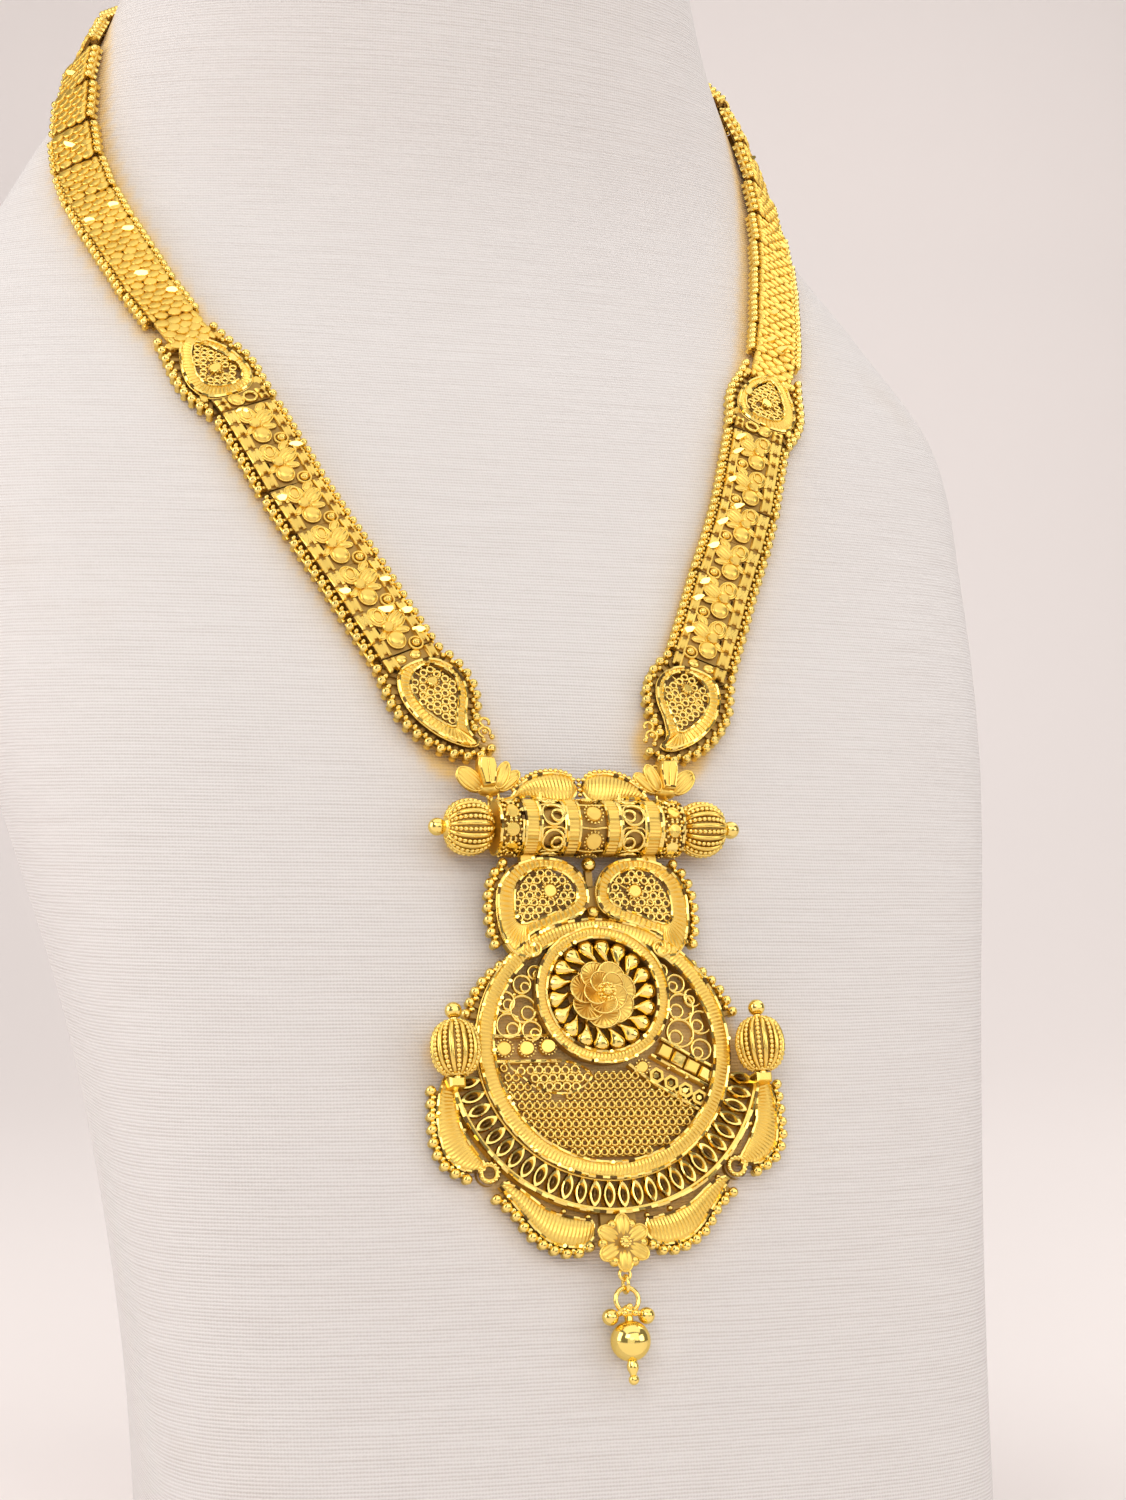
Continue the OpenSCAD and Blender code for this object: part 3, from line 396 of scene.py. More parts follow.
    # Small facets along a line, turned as they would be to catch the key lamp from the front
    def sparks(self, line, n):
        for x, y, z in resample(line, n=400)[rng.integers(0, 400, n)]:
            o = oval(5, 0.42, 0.42) * rng.uniform(0.7, 1.1, (5, 1))
            self.facet(o, (x, y), z - 0.3, z + 0.25, 0.08, np.array([0.5, -0.1]) + rng.uniform(-0.06, 0.06, 2))

    # A ridged strip between two lines, or two that already match point by point: its height h, the depth of its
    # ridges, its crown, its foot's height zb, and m steps across
    def ribbon(self, a, b, ridge, h, amp, crown, zb, closed, m, mat, slant=0.0, matched=False):
        n = len(a) if matched else 2 * max(2, int(round(line_length(a, closed) / ridge)))
        if not matched:
            a = resample(a, n=n, closed=closed)
            b = resample(b, n=n, closed=closed, shift=slant)
        d = np.roll(a, -1, 0) - a
        side = d[:-1, 0] * (b - a)[:-1, 1] - d[:-1, 1] * (b - a)[:-1, 0]
        if side.sum() < 0:
            a, b = b, a
        t = np.linspace(0, 1, m + 1)
        xy = a[:, None, :2] * (1 - t)[None, :, None] + b[:, None, :2] * t[None, :, None]
        wave = (np.arange(n) % 2)[:, None]
        if matched:
            gap = np.linalg.norm(np.roll(xy, -1, 0) - xy, axis=2)
            wave = wave * np.clip(gap / (ridge / 2), 0, 1)
        z = h + crown * (1 - (2 * t - 1) ** 2)[None] + amp * wave * np.sin(np.pi * (0.1 + 0.8 * t))[None]
        top = np.dstack([xy, np.broadcast_to(z, xy.shape[:2])])
        low = top[:, [0, -1]] * [1, 1, 0] + [0, 0, zb]
        self.grid(np.concatenate([low[:, :1], top, low[:, 1:]], 1), mat, False, cu=closed)

    def ring_ribbon(self, r1, r0, n, ridge, h, amp, crown, zb, m, mat, c=(0, 0)):
        a, b = (circle(r, n, c=c)[:, :2] for r in (r1, r0))
        self.ribbon(a, b, ridge, h, amp, crown, zb, True, m, mat)

    # A swelling on an outline given round its own middle
    def blob(self, outline, pos, h, z, wall=0.3, rings=4, mat=SATIN, power=0.5):
        t = np.concatenate([[1, 1], np.cos(np.linspace(0, np.pi / 2, rings + 1)[1:-1])])
        lift = np.concatenate([[-wall, 0], h * (1 - t[2:] ** 2) ** power])
        g = np.asarray(outline)[:, None] * t[None, :, None]
        g = np.dstack([g, np.broadcast_to(z + lift, g.shape[:2])]) + [*pos, 0]
        self.grid(g, mat, cu=True, bottom=[*pos, z - wall], top=[*pos, z + h])

    # A flat facet with bevelled edges, tilted a little
    def facet(self, outline, pos, z0, z1, bevel=0.2, tilt=(0, 0), mat=BRIGHT):
        o = np.asarray(outline, float)
        inner = o * (1 - bevel / np.linalg.norm(o, axis=1).max())
        rise = inner @ np.asarray(tilt, float)
        g = np.stack([lifted(o, z0), lifted(o, z1 - bevel), np.column_stack([inner, z1 + rise])], 1) + [*pos, 0]
        self.grid(g, mat, False, cu=True, bottom=[*pos, z0], top=[*pos, z1])

    # A block with bevelled edges on top
    def box(self, x0, x1, y0, y1, z0, z1, bevel=0.08, mat=SATIN):
        w, l = (x1 - x0) / 2, (y1 - y0) / 2
        corners = [[-w, -l], [w, -l], [w, l], [-w, l]]
        self.facet(corners, ((x0 + x1) / 2, (y0 + y1) / 2), z0, z1, bevel, mat=mat)

    # A straight bar between two points
    def bar(self, a, b, half, z0, z1, bevel, mat):
        side = unit([a[1] - b[1], b[0] - a[0]]) * half
        mid = (a + b) / 2
        self.facet(np.array([a - side, b - side, b + side, a + side]) - mid, mid, z0, z1, bevel, mat=mat)

    # A flat sheet with windows, all in the darker gold that paints shade under and between the work
    def plate(self, outline, holes, z0, z1):
        loops = [np.asarray(l, float) for l in (outline, *holes)]
        tri = np.array(tessellate_polygon([[Vector((p[0], p[1], 0)) for p in l] for l in loops]))
        xy = np.concatenate(loops)
        a, b, c = xy[tri[:, 0]], xy[tri[:, 1]], xy[tri[:, 2]]
        area = (b - a)[:, 0] * (c - a)[:, 1] - (b - a)[:, 1] * (c - a)[:, 0]
        tri, area = tri[abs(area) > 1e-9], area[abs(area) > 1e-9]
        tri[area < 0] = tri[area < 0][:, ::-1]
        self.add(lifted(xy, z1), tri, PAINTED_SHADE, False)
        self.add(lifted(xy, z0), tri[:, ::-1], PAINTED_SHADE, False)
        for k, l in enumerate(loops):
            l = l if (area2(l) > 0) == (k == 0) else l[::-1]
            self.grid(np.stack([lifted(l, z0), lifted(l, z1)], 1), PAINTED_SHADE, False, cu=True)

    # Small rings like a comb, with a grain of gold between them
    def comb(self, region, pitch, hole, z, edge, keep_off, grain, rh):
        p = lattice(region, pitch, edge, keep_off)
        p = p + rng.uniform(-0.12, 0.12, p.shape)
        self.torus(lifted(p, z), hole + 0.24, 0.24, rh, 8, 5, BRIGHT)
        self.balls(lifted(p + [0, pitch * 0.58], z + rh * 0.9), grain, 6, 4)

    # A round facet with a milled ring of grains
    def gem(self, x, y, r, z0, z1, n=14, tilt=None, mat=MATT):
        tilt = rng.uniform(-0.25, 0.25, 2) if tilt is None else tilt
        self.facet(oval(n, 1, 1) * r * 0.78, (x, y), z0, z1, 0.2, tilt, mat)
        self.balls(lifted(oval(n, 1, 1) * r * 0.92 + [x, y], z1 - 0.15), 0.62 * np.pi * r / n, 6, 4)


# Adds a node: small keys are its settings, capital keys and in_N its inputs, by value or by link
def node(tree, kind, **values):
    new = tree.nodes.new("ShaderNode" + kind)
    for key, value in values.items():
        if not (key[0].isupper() or key.startswith("in_")):
            setattr(new, key, value)
            continue
        socket = new.inputs[int(key[3:]) if key.startswith("in_") else key.replace("_", " ")]
        if isinstance(value, bpy.types.NodeSocket):
            tree.links.new(value, socket)
        else:
            socket.default_value = value
    return new.outputs[2 if kind == "Mix" else 0]


def ramp(tree, fac, low, low_colour, high, high_colour):
    tone = node(tree, "ValToRGB", Fac=fac)
    for e, at, c in zip(tone.node.color_ramp.elements, (low, high), (low_colour, high_colour)):
        e.position, e.color = at, (*c, 1)
    return tone


def new_material(name, **values):
    m = bpy.data.materials.new(name)
    m.use_nodes = True
    shader = m.node_tree.nodes["Principled BSDF"]
    for key, value in values.items():
        shader.inputs[key.replace("_", " ")].default_value = value
    return m, m.node_tree, shader


def gold(name, colour, rough, brushed=0.0, deep=0.0):
    m, tree, shader = new_material(name, Metallic=1.0, Roughness=rough, Base_Color=(*colour, 1),
                                   Specular_Tint=(1.0, 0.93, 0.62, 1))
    place = tree.nodes.new("ShaderNodeTexCoord").outputs["Object"]
    fine = node(tree, "TexNoise", Vector=place, Scale=900, Detail=3)
    bump = node(tree, "Bump", Strength=0.25 + brushed, Distance=0.00004, Height=fine)
    tree.links.new(bump, shader.inputs["Normal"])
    broad = node(tree, "TexNoise", Vector=place, Scale=160, Detail=5)
    tone = ramp(tree, broad, 0.35, [c * (0.9 - deep) for c in colour], 0.7, colour)
    tree.links.new(tone, shader.inputs["Base Color"])
    return m


# The third gold is painted shade and the fifth painted dark reflection; the others differ in finish
GOLDS = [gold("gold_cut", (1.0, 0.75, 0.22), 0.12), gold("gold_satin", (0.94, 0.665, 0.165), 0.26, brushed=0.4),
         gold("gold_painted_shade", (0.46, 0.28, 0.08), 0.5, brushed=0.4, deep=0.1),
         gold("gold_matt", (0.91, 0.625, 0.145), 0.36, brushed=0.5),
         gold("gold_painted_dark_reflection", (0.13, 0.075, 0.025), 0.3)]


def linen():
    m, tree, shader = new_material("linen", Roughness=0.9, Specular_IOR_Level=0.15, Sheen_Weight=0.25,
                                   Sheen_Roughness=0.6)
    uv = node(tree, "UVMap", uv_map="cloth")
    # Threads: level rows first, and finer threads across them
    drift = node(tree, "TexNoise", Vector=uv, Scale=30.0, Detail=3.0).node.outputs["Color"]
    place = node(tree, "VectorMath", operation="MULTIPLY_ADD", in_0=drift, in_1=(0.0006, 0.0006, 0), in_2=uv)
    rows = node(tree, "TexWave", wave_type="BANDS", bands_direction="Y", Vector=place, Scale=560.0, Distortion=0.6,
                Detail=2.0, Detail_Scale=2.0).node.outputs["Fac"]
    cols = node(tree, "TexWave", wave_type="BANDS", bands_direction="X", Vector=place, Scale=620.0, Distortion=0.8,
                Detail=2.0).node.outputs["Fac"]
    slubs = node(tree, "TexNoise", Vector=node(tree, "Mapping", Vector=uv, Scale=(60, 1800, 1)), Scale=1.0, Detail=3.0)
    fuzz = node(tree, "TexNoise", Vector=uv, Scale=2600.0, Detail=2.0)
    height = rows
    for layer, share in ((cols, 0.32), (slubs, 1.35), (fuzz, 0.7)):
        height = node(tree, "Math", operation="MULTIPLY_ADD", in_0=layer, in_1=share, in_2=height)
    bump = node(tree, "Bump", Strength=0.45, Distance=0.00018, Height=height)
    tree.links.new(bump, shader.inputs["Normal"])
    threads = ramp(tree, node(tree, "Math", operation="MULTIPLY", in_0=height, in_1=0.31),
                   0.25, (0.56, 0.508, 0.485), 0.6, (0.69, 0.657, 0.642))
    # Faint stains, and the warm light thrown back by the gold
    soil = ramp(tree, node(tree, "TexNoise", Vector=uv, Scale=14.0, Detail=5.0),
                0.62, (1, 1, 1), 0.82, (0.93, 0.88, 0.82))
    tint = node(tree, "Mix", data_type="RGBA", blend_type="MULTIPLY", in_0=1.0, in_6=threads, in_7=soil)
    near = node(tree, "Attribute", attribute_name="near_gold").node.outputs["Fac"]
    warm = node(tree, "Mix", data_type="RGBA", blend_type="MULTIPLY", in_0=near, in_6=tint, in_7=(1.22, 0.88, 0.36, 1))
    tree.links.new(warm, shader.inputs["Base Color"])
    return m


def link(name, data):
    ob = bpy.data.objects.new(name, data)
    bpy.context.scene.collection.objects.link(ob)
    return ob


# Makes one piece from heaps in the part's frame, mirrored for the right-hand side
def piece(name, node_name, heaps, mirror=False, mats=GOLDS):
    every = Heap()
    for h, m in heaps:
        every.join(h, m)
    v = (np.concatenate([p[0] for p in every.parts]) - [0, CENTRE_Y, 0]) * MM
    if mirror:
        v = v * [-1, 1, 1]
    loops, sizes, mat, smooth, start = [], [], [], [], 0
    for pv, f, m, sm in every.parts:
        f = f[:, ::-1] if mirror else f
        loops.append((f + start).ravel())
        sizes.append(np.full(len(f), f.shape[1]))
        mat.append(np.full(len(f), m))
        smooth.append(np.full(len(f), sm))
        start += len(pv)
    loops, sizes = np.concatenate(loops), np.concatenate(sizes)
    me = bpy.data.meshes.new(name)
    me.vertices.add(len(v))
    me.vertices.foreach_set("co", v.ravel())
    me.loops.add(len(loops))
    me.loops.foreach_set("vertex_index", loops.astype(np.int32))
    me.polygons.add(len(sizes))
    me.polygons.foreach_set("loop_start", np.concatenate([[0], np.cumsum(sizes)[:-1]]).astype(np.int32))
    me.polygons.foreach_set("material_index", np.concatenate(mat).astype(np.int32))
    me.polygons.foreach_set("use_smooth", np.concatenate(smooth))
    me.update(calc_edges=True)
    for m in mats:
        me.materials.append(m)
    ob = link(name, me)
    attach(ob, "root")
    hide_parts(node_name)
    return ob


# Makes one piece of the pendant, from work drawn in its plane
def pendant_piece(name, g, m=moved(0, 0), mirror=False, more=()):
    full = np.column_stack([PENDANT[:, :3] @ m[:, :3], PENDANT[:, :3] @ m[:, 3] + PENDANT[:, 3]])
    piece(name + "_gold", name, [(g, full), *more], mirror)


# The linen bust, with its cloth coordinates
def bust():
    seg, rows = 280, 230
    p = np.array([[skin(a, h) for h in np.linspace(0, BUST_TOP, rows)] for a in np.arange(seg) * 360 / seg + 180])[::-1]
    crown = p[:, -1]
    mid = crown.mean(0)
    edge = np.stack([crown + (mid - crown) * k + [0, 0, d] for k, d in ((0.004, -0.15), (0.012, 0))], 1)
    p[:, -1, 2] -= 0.9
    p = np.concatenate([p, edge], 1)
    h = Heap()
    h.grid(p, 0, cu=True, bottom=p[:, 0].mean(0), top=edge[:, -1].mean(0))
    me = piece("bust_linen", "neck_bust", [(h, None)], mats=[linen()]).data
    uv = me.uv_layers.new(name="cloth")
    co = np.empty(len(me.vertices) * 3)
    me.vertices.foreach_get("co", co)
    co = co.reshape(-1, 3)
    # Cloth coordinates run round from the middle of the front, with their join at the back
    arc = np.cumsum(np.linalg.norm(np.diff(p, axis=0, append=p[:1]), axis=2), axis=0) * MM
    index = np.empty(len(me.loops), np.int32)
    me.loops.foreach_get("vertex_index", index)
    nv = p.shape[1]
    u = np.zeros(len(co))
    u[:seg * nv] = (arc - arc[seg // 2]).ravel()
    last = np.zeros(len(index), bool)
    last[4 * (seg - 1) * (nv - 1):4 * seg * (nv - 1)] = True
    last &= index < nv
    uv.data.foreach_set("uv", np.column_stack([u[index] + last * arc[-1][index % nv], co[index, 2]]).ravel())
    mark_near_gold(me, co)


# How near the gold is, for the warm light that it throws on the cloth: the band, then the pendant's shapes
def mark_near_gold(me, co):
    v = co / MM + [0, CENTRE_Y, 0]
    line = np.array([spot(s) for s in np.linspace(-8, 210, 80)])
    band_far = np.full(len(v), 99.0)
    for q in np.concatenate([line, line * [-1, 1, 1]]):
        band_far = np.minimum(band_far, np.linalg.norm(v - q, axis=1) - 7.5)
    x, s, depth = ((v - PENDANT[:, 3]) @ PENDANT[:, :3]).T
    far = np.minimum(band_far, np.hypot(np.maximum(abs(x) - 22, 0), np.maximum(abs(s - 38) - 3, 0)) - 1.5)
    for cx, cs, r in ((0, 0, 22.5), (0, -7, 26.5), (-9, 25, 8.5), (9, 25, 8.5), (0, 15, 13), (-26, 0, 4), (26, 0, 4)):
        far = np.minimum(far, np.hypot(x - cx, s - cs) - r)
    far = np.where(abs(depth) < 25, far, band_far)
    warmth = np.clip(np.where(far < 0, 0.15 - 0.5 * far, 0.15 * np.exp(-far / 3.0)), 0, 1)
    me.attributes.new("near_gold", "FLOAT", "POINT").data.foreach_set("value", warmth)


# A domed petal about its own middle, with lines along it and a wire round its rim
def petal(g, pos, turn, rx, ry, z, h, lines, amp=0.1, wall=0.5, rim=0.17):
    n = 4 * lines if lines else 12
    u, v = np.meshgrid(np.linspace(-1, 1, n + 1), np.linspace(-1, 1, 11), indexing="ij")
    x, y = u * np.sqrt(1 - v * v / 2), v * np.sqrt(1 - u * u / 2)
    dome = np.sqrt(np.clip(1 - x * x - y * y, 0, 1))
    rise = h * dome - (amp * np.cos(np.pi * lines * (u + 1)) * dome ** 0.4 if lines else 0)
    top = np.dstack([x * rx, y * ry, z + rise])
    low = top * [1, 1, 0] + [0, 0, z - wall]
    one = Heap()
    ends = top[:, [0, -1]].mean(0) * [1, 1, 0] + [0, 0, z - wall / 2]
    one.grid(np.concatenate([top, low[::-1]]), MATT, cu=True, bottom=ends[0], top=ends[1])
    one.wire(lifted(oval(28, rx, ry), z + 0.03), rim, closed=True)
    g.join(one, spun(turn, *pos))


# Blocks with square notches, along both edges of the band
def rails(g, step, y0, y1):
    n = int(round((y1 - y0) / step))
    t, e = (y1 - y0) / n / 2 - 0.1, 0.5
    for x0, x1 in ((LOWER_X[0], -2.7), (3.2, LOWER_X[1])):
        w = (x1 - x0) / 2
        lower = [[-w, -t], [-e, -t], [-e, -t + e], [e, -t + e], [e, -t], [w, -t]]
        notched = np.array(lower + [[x, -y] for x, y in lower[::-1]])
        for k in range(n):
            g.facet(notched, ((x0 + x1) / 2, y0 + (y1 - y0) * (k + 0.5) / n), TOP_Z - 0.1, RAIL_Z + 0.2, 0.3,
                    rng.uniform(-0.14, 0.14, 2), (MATT, MATT, SATIN)[k % 3])


# Round scales that lie over one another like slates, the lowest over the joint
def scales(g, y0, y1):
    one = Heap()
    one.blob(oval(26, 1.3, 1.4), (0, 0), 0.3, 0, 0.35, 5, MATT, 0.45)
    n = int(round((y1 - y0) / 1.73))
    # Each row's places across the band, and how wide each scale is
    rows = ((-3.4, 1), (-1.0, 1), (1.4, 1), (3.2, 0.45)), ((-4.15, 0.4), (-2.2, 1), (0.2, 1), (2.55, 0.95))
    for j in range(n):
        y = y1 - (j + 0.62) * (y1 - y0) / n
        z, lean = (TOP_Z + 0.3, 0.2) if j < n - 1 else (TOP_Z + 0.24, 0.08)
        for x, wide in rows[j % 2]:
            dx, dy = rng.uniform(-0.14, 0.14, 2)
            slope = [rng.uniform(-0.12, 0.12), rng.uniform(-0.06, 0.06) - lean, 1, z]
            g.join(one, np.array([[wide, 0, 0, x + dx * wide], [0, 1, 0, y + dy], slope]))


# The two beaded edges of a link, with arms to the sheet, grains between the beads and a bar under them
def bead_edges(g, l, edges, shelf_z, bead_z, arm_w, arm_z, bevel, back, wire_z, wire_r):
    for x, inner, r, n in edges:
        x0, x1 = sorted((x, inner))
        y = (np.arange(n) + 0.5) * l / n
        # The bar under the beads is in the darker gold: painted shade between them
        g.box(x0, x1, 0.3, l - 0.3, SKIRT_Z + 0.3, shelf_z, mat=PAINTED_SHADE)
        g.beads(np.column_stack([np.full(n, x), y]), SKIRT_Z + 0.1, bead_z, r)
        for k in y:
            g.box(x0, x1, k - arm_w, k + arm_w, SHEET_Z - 0.6, arm_z, bevel)
            g.balls([x * 0.9, k + l / n / 2 - back, SHEET_Z], 0.48, 8, 6)
        g.wire([[x, k, wire_z] for k in (0.1, l / 2, l - 0.1)], wire_r)


# The tongue under the next link and the skirts along both sides
def tongue_and_skirts(g, l, x0, x1, mat):
    g.box(x0 + 0.2, x1 - 0.2, l - 0.3, l + 0.45, SHEET_Z - 0.1, TOP_Z - 0.07, mat=mat)
    # The skirts are in the darker gold: painted shade under the sheet's edges
    for x in (x0, x1 - 0.6):
        g.box(x, x + 0.6, 0.5, l - 0.5, SKIRT_Z, SHEET_Z + 0.1, mat=PAINTED_SHADE)


# A lower link, drawn once along y from 0 to its length
def lower_unit():
    g, l = Heap(), LOWER_L
    slit = [[-2.6, l / 2 - 1.2], [-2.2, l / 2 - 1.2], [-2.2, l / 2 + 1.2], [-2.6, l / 2 + 1.2]]
    side = [[LOWER_X[0], 0], [1.7, 0], [1.9, 0.7], [2.4, 0.95], [2.9, 0.7], [3.1, 0], [LOWER_X[1], 0]]
    gaps = [[[0.3, l * 0.68], [1.2, l * 0.72], [0.7, l * 0.8]], [[0.35, l * 0.36], [0.6, l * 0.26], [1.3, l * 0.34]]]
    g.plate(side + [[x, l - y] for x, y in side[::-1]], [slit] + gaps, SHEET_Z, TOP_Z)
    tongue_and_skirts(g, l, *LOWER_X, PAINTED_SHADE)
    rails(g, l / 3, 0, l)
    bead_edges(g, l, ((-6.15, -4.7, 0.8, 4), (5.95, 4.7, 0.75, 5)), SHEET_Z - 0.9, SHEET_Z + 0.15,
               0.3, SHEET_Z + 0.35, 0.15, 0, SHEET_Z - 0.75, 0.32)
    # A flower of petals about a round facet: place, turn, half sizes, height, rise, lines and their depth
    x, y, z = -0.7, l * 0.53, TOP_Z + 0.3
    for dx, dy, *shape in ((-0.5, 2.6, 16, 1.6, 2.0, z, 0.55, 0), (2.3, 1.1, -62, 1.45, 1.85, z, 0.65, 4, 0.16),
                           (0.2, -2.6, -6, 1.6, 1.75, z, 0.95, 0), (2.15, -1.05, 72, 0.6, 1.35, z - 0.05, 0.45, 0),
                           (-1.35, -1.0, 125, 0.5, 1.1, z - 0.05, 0.4, 0)):
        petal(g, (x + dx, y + dy), *shape)
    petal(g, (1.9, l - 1.0), -50, 0.75, 1.2, z - 0.1, 0.45, 2, 0.12)
    g.facet(oval(10, 1.05, 1.05), (x, y), TOP_Z - 0.1, TOP_Z + 1.15, 0.28, (0.08, 0.06), MATT)
    loop = Heap()
    loop.wire(lifted(oval(22, 0.85, 1.2), z + 0.6), 0.2, closed=True)
    g.join(loop, spun(-16, x - 0.5, y + 2.6))
    g.torus([2.35, 0.55, TOP_Z + 0.2], 1.2, 0.24, 0.35, 22, 7, MATT)
    g.balls([2.35, 0.55, TOP_Z + 0.35], 0.8, 14, 9, SATIN)
    return g


def upper_unit():
    g, l = Heap(), UPPER_L
    # The sheet between the scales is in the darker gold: painted shade
    g.box(*UPPER_X, 0, l, SHEET_Z, TOP_Z, mat=PAINTED_SHADE)
    tongue_and_skirts(g, l, *UPPER_X, MATT)
    bead_edges(g, l, ((-5.6, -4.4, 0.78, 5), (4.6, 3.5, 0.78, 5)), SHEET_Z - 0.7, SHEET_Z + 0.1,
               0.35, SHEET_Z + 0.4, 0.2, 0.1, SHEET_Z - 0.6, 0.45)
    scales(g, 0, l)
    return g


# Teardrops: outline, window and the lines of their edge beads
LOWER_OUT = curve([[0.5, 8.1], [-3.2, 7.3], [-5, 4.2], [-5.4, 0.4], [-4.5, -3.4], [-2.6, -7], [0.4, -10],
                   [2.6, -10.2], [2, -8], [3.2, -4.6], [5.4, -1.2], [6.4, 2.4], [5.4, 5.6], [3.2, 7.5]], 10, True)
LOWER_WIN = curve([[0.6, 6.9], [-2, 5.4], [-3.2, 2.4], [-2.8, -1.2], [-1.4, -4.2], [0.1, -6], [1.4, -4.2],
                   [3.4, -1.6], [5, 1.6], [4.6, 4.6], [2.8, 6.4]], 10, True)
LOWER_BEADS = [[-6.2, 9.6], [-6.8, 6.2], [-7.4, 2.6], [-7.1, -1.2], [-6, -4.8], [-4.2, -8], [-1.6, -10.8],
               [1.4, -12.2], [4.1, -11.8]]
LOWER_BEADS_IN = [[3.4, -7.2], [5.2, -5], [6.8, -2.6], [7.8, 0.4], [7.9, 3.6], [7.2, 6.6], [6, 9.4]]
MID_OUT = curve([[-0.6, 9.2], [-3, 8], [-4.8, 4.4], [-6.2, 0.6], [-6.6, -3.6], [-4.9, -7.4], [-0.6, -8.3],
                 [3.4, -7.2], [5.1, -4], [5, 0.2], [3.8, 4], [1.6, 7.2]], 10, True)
MID_WIN = curve([[-0.4, 7], [-2, 5.4], [-3.4, 2], [-4.2, -1.6], [-3.4, -4.6], [-0.4, -5.7], [2.6, -4.9],
                 [3.8, -2], [3, 1.6], [1.4, 5]], 10, True)
MID_BEADS = [[-6.2, 10.6], [-6.9, 6.1], [-7.7, 2], [-8.1, -2.4], [-7.6, -6.6], [-6.6, -10.4]]
MID_BEADS_IN = [[5.1, 10.4], [5.9, 5.6], [6.8, 1.6], [6.9, -2.6], [6.3, -6.8], [6, -10.6]]
TWIN_OUT = curve([[-10.4, 15.6], [-12.6, 15], [-14.4, 15.8], [-16, 18.6], [-16.6, 22.6], [-16.1, 26.8],
                  [-13.8, 30.1], [-10, 31.7], [-6, 31.7], [-2.6, 30.1], [-0.9, 27], [-1, 24], [-2.6, 22.2],
                  [-5.6, 20.9], [-9.4, 19.6], [-11.6, 18.4]], 10, True)
TWIN_WIN = curve([[-13.6, 22.2], [-13.2, 26.6], [-10.8, 29.4], [-7.2, 30.1], [-4, 28.6], [-2.7, 26],
                  [-3.4, 24.2], [-6.2, 22.8], [-9.8, 21.4], [-12.4, 20.6]], 10, True)
TWIN_BEADS = [[-14.9, 31.2], [-17, 28.6], [-17.9, 24.8], [-17.9, 20.8], [-17.2, 17.4]]


# A ridged border with cut rims round a combed window, with a gem on a disc
def teardrop(outline, window, disc, r_disc, z, high=1.05, pitch=1.5, tilt=(0.22, -0.06)):
    g = Heap()
    outline, window = anticlockwise(outline), anticlockwise(window)
    ridge = 0.95
    a = resample(inset(outline, 0.3), n=2 * int(line_length(outline, True) / ridge), closed=True)
    near = nearest(a, resample(inset(window, -0.22), n=600, closed=True))
    near = sum(np.roll(near, k, 0) for k in range(-3, 4)) / 7
    g.ribbon(a, near, ridge, z + high - 0.22, 0.33, 0.0, z, True, 5, MATT, matched=True)
    g.cut(lifted(inset(outline, 0.16), z + high - 0.1), 0.27, True, 1.1, 0.8)
    g.wire(lifted(resample(outline, step=0.6, closed=True), z + high * 0.45), 0.22, 5, closed=True)
    g.cut(lifted(inset(window, -0.06), z + high - 0.12), 0.22, True, 0.9, 0.8)
    g.comb(window, pitch, 0.36, z + 0.45, 0.45, [(*disc, r_disc + 0.35)], 0.22, 0.36)
    g.gem(*disc, r_disc, z, z + high + 0.2, tilt=tilt, mat=SATIN)
    # Wires from the disc to the window's edge
    w = resample(window, n=200, closed=True)
    for ang in (30, 120, 210, 300):
        e = direction(ang)
        ok = ((w - disc) @ e > 0) & (abs((w - disc) @ [-e[1], e[0]]) < 0.4)
        far = w[ok].mean(0) if ok.any() else disc + e * 6
        g.wire(lifted([disc, (disc + far) / 2, far], z + 0.3), 0.2, 5)
    return g


# Edge beads along a line, each with an arm to the nearest point of its home outline
def edge_row(g, line, n, home, levels):
    z0, z = levels
    p = resample(line, n=n)
    g.beads(p, z0, z, BEAD_R)
    q = nearest(p, resample(home, n=400, closed=True))
    for a, b in zip(p, q):
        if np.linalg.norm(b - a) >= 0.2:
            # The arms are in the darker gold: painted shade between the beads and the border
            g.bar(a, b, 0.42, z0 + 0.1, z - 0.25, 0.15, PAINTED_SHADE)
    inward = (p[:-1] + p[1:]) / 2 * 0.65 + (q[:-1] + q[1:]) / 2 * 0.35
    g.balls(lifted(inward, z - 0.1), 0.52, 9, 6)


# A teardrop of the band, with its rows of edge beads and the plate behind them
def band_teardrop(outline, window, disc, r_disc, rows, back):
    g = teardrop(outline, window, disc, r_disc, SHEET_Z)
    for line, n in rows:
        edge_row(g, curve(line), n, outline, BAND_EDGE)
    g.plate(back, [inset(outline[::2], 0.9)], 0.9, 1.5)
    return g


def paisley_lower():
    g = band_teardrop(LOWER_OUT, LOWER_WIN, (1.1, 3.4), 1.15, ((LOWER_BEADS, 13), (LOWER_BEADS_IN, 9)),
                      LOWER_BEADS + [[3, -9.5]] + LOWER_BEADS_IN)
    l = span(0, LOWER_END) - trim(LOWER_END)
    # The sheet under the rails is in the darker gold: painted shade
    g.box(*LOWER_X, 8.2, l, SHEET_Z, TOP_Z, mat=PAINTED_SHADE)
    rails(g, 2.7, 7.6, l)
    for x in (-1.7, 1.2):
        g.blob(oval(18, 1.1, 0.95), (x, l - 1.0), 0.5, TOP_Z)
    # A small curl with grains at the tail
    for x, y, r in ((4.6, -8.6, 1.0), (5.6, -6.9, 0.8)):
        g.wire(circle(r, 14, SHEET_Z + 0.3, (x, y), -60, 230), 0.28)
    g.balls([[4.6, -8.6, SHEET_Z + 0.5], [5.4, -9.9, SHEET_Z + 0.2], [3.7, -9.9, SHEET_Z + 0.2]], 0.5)
    return g


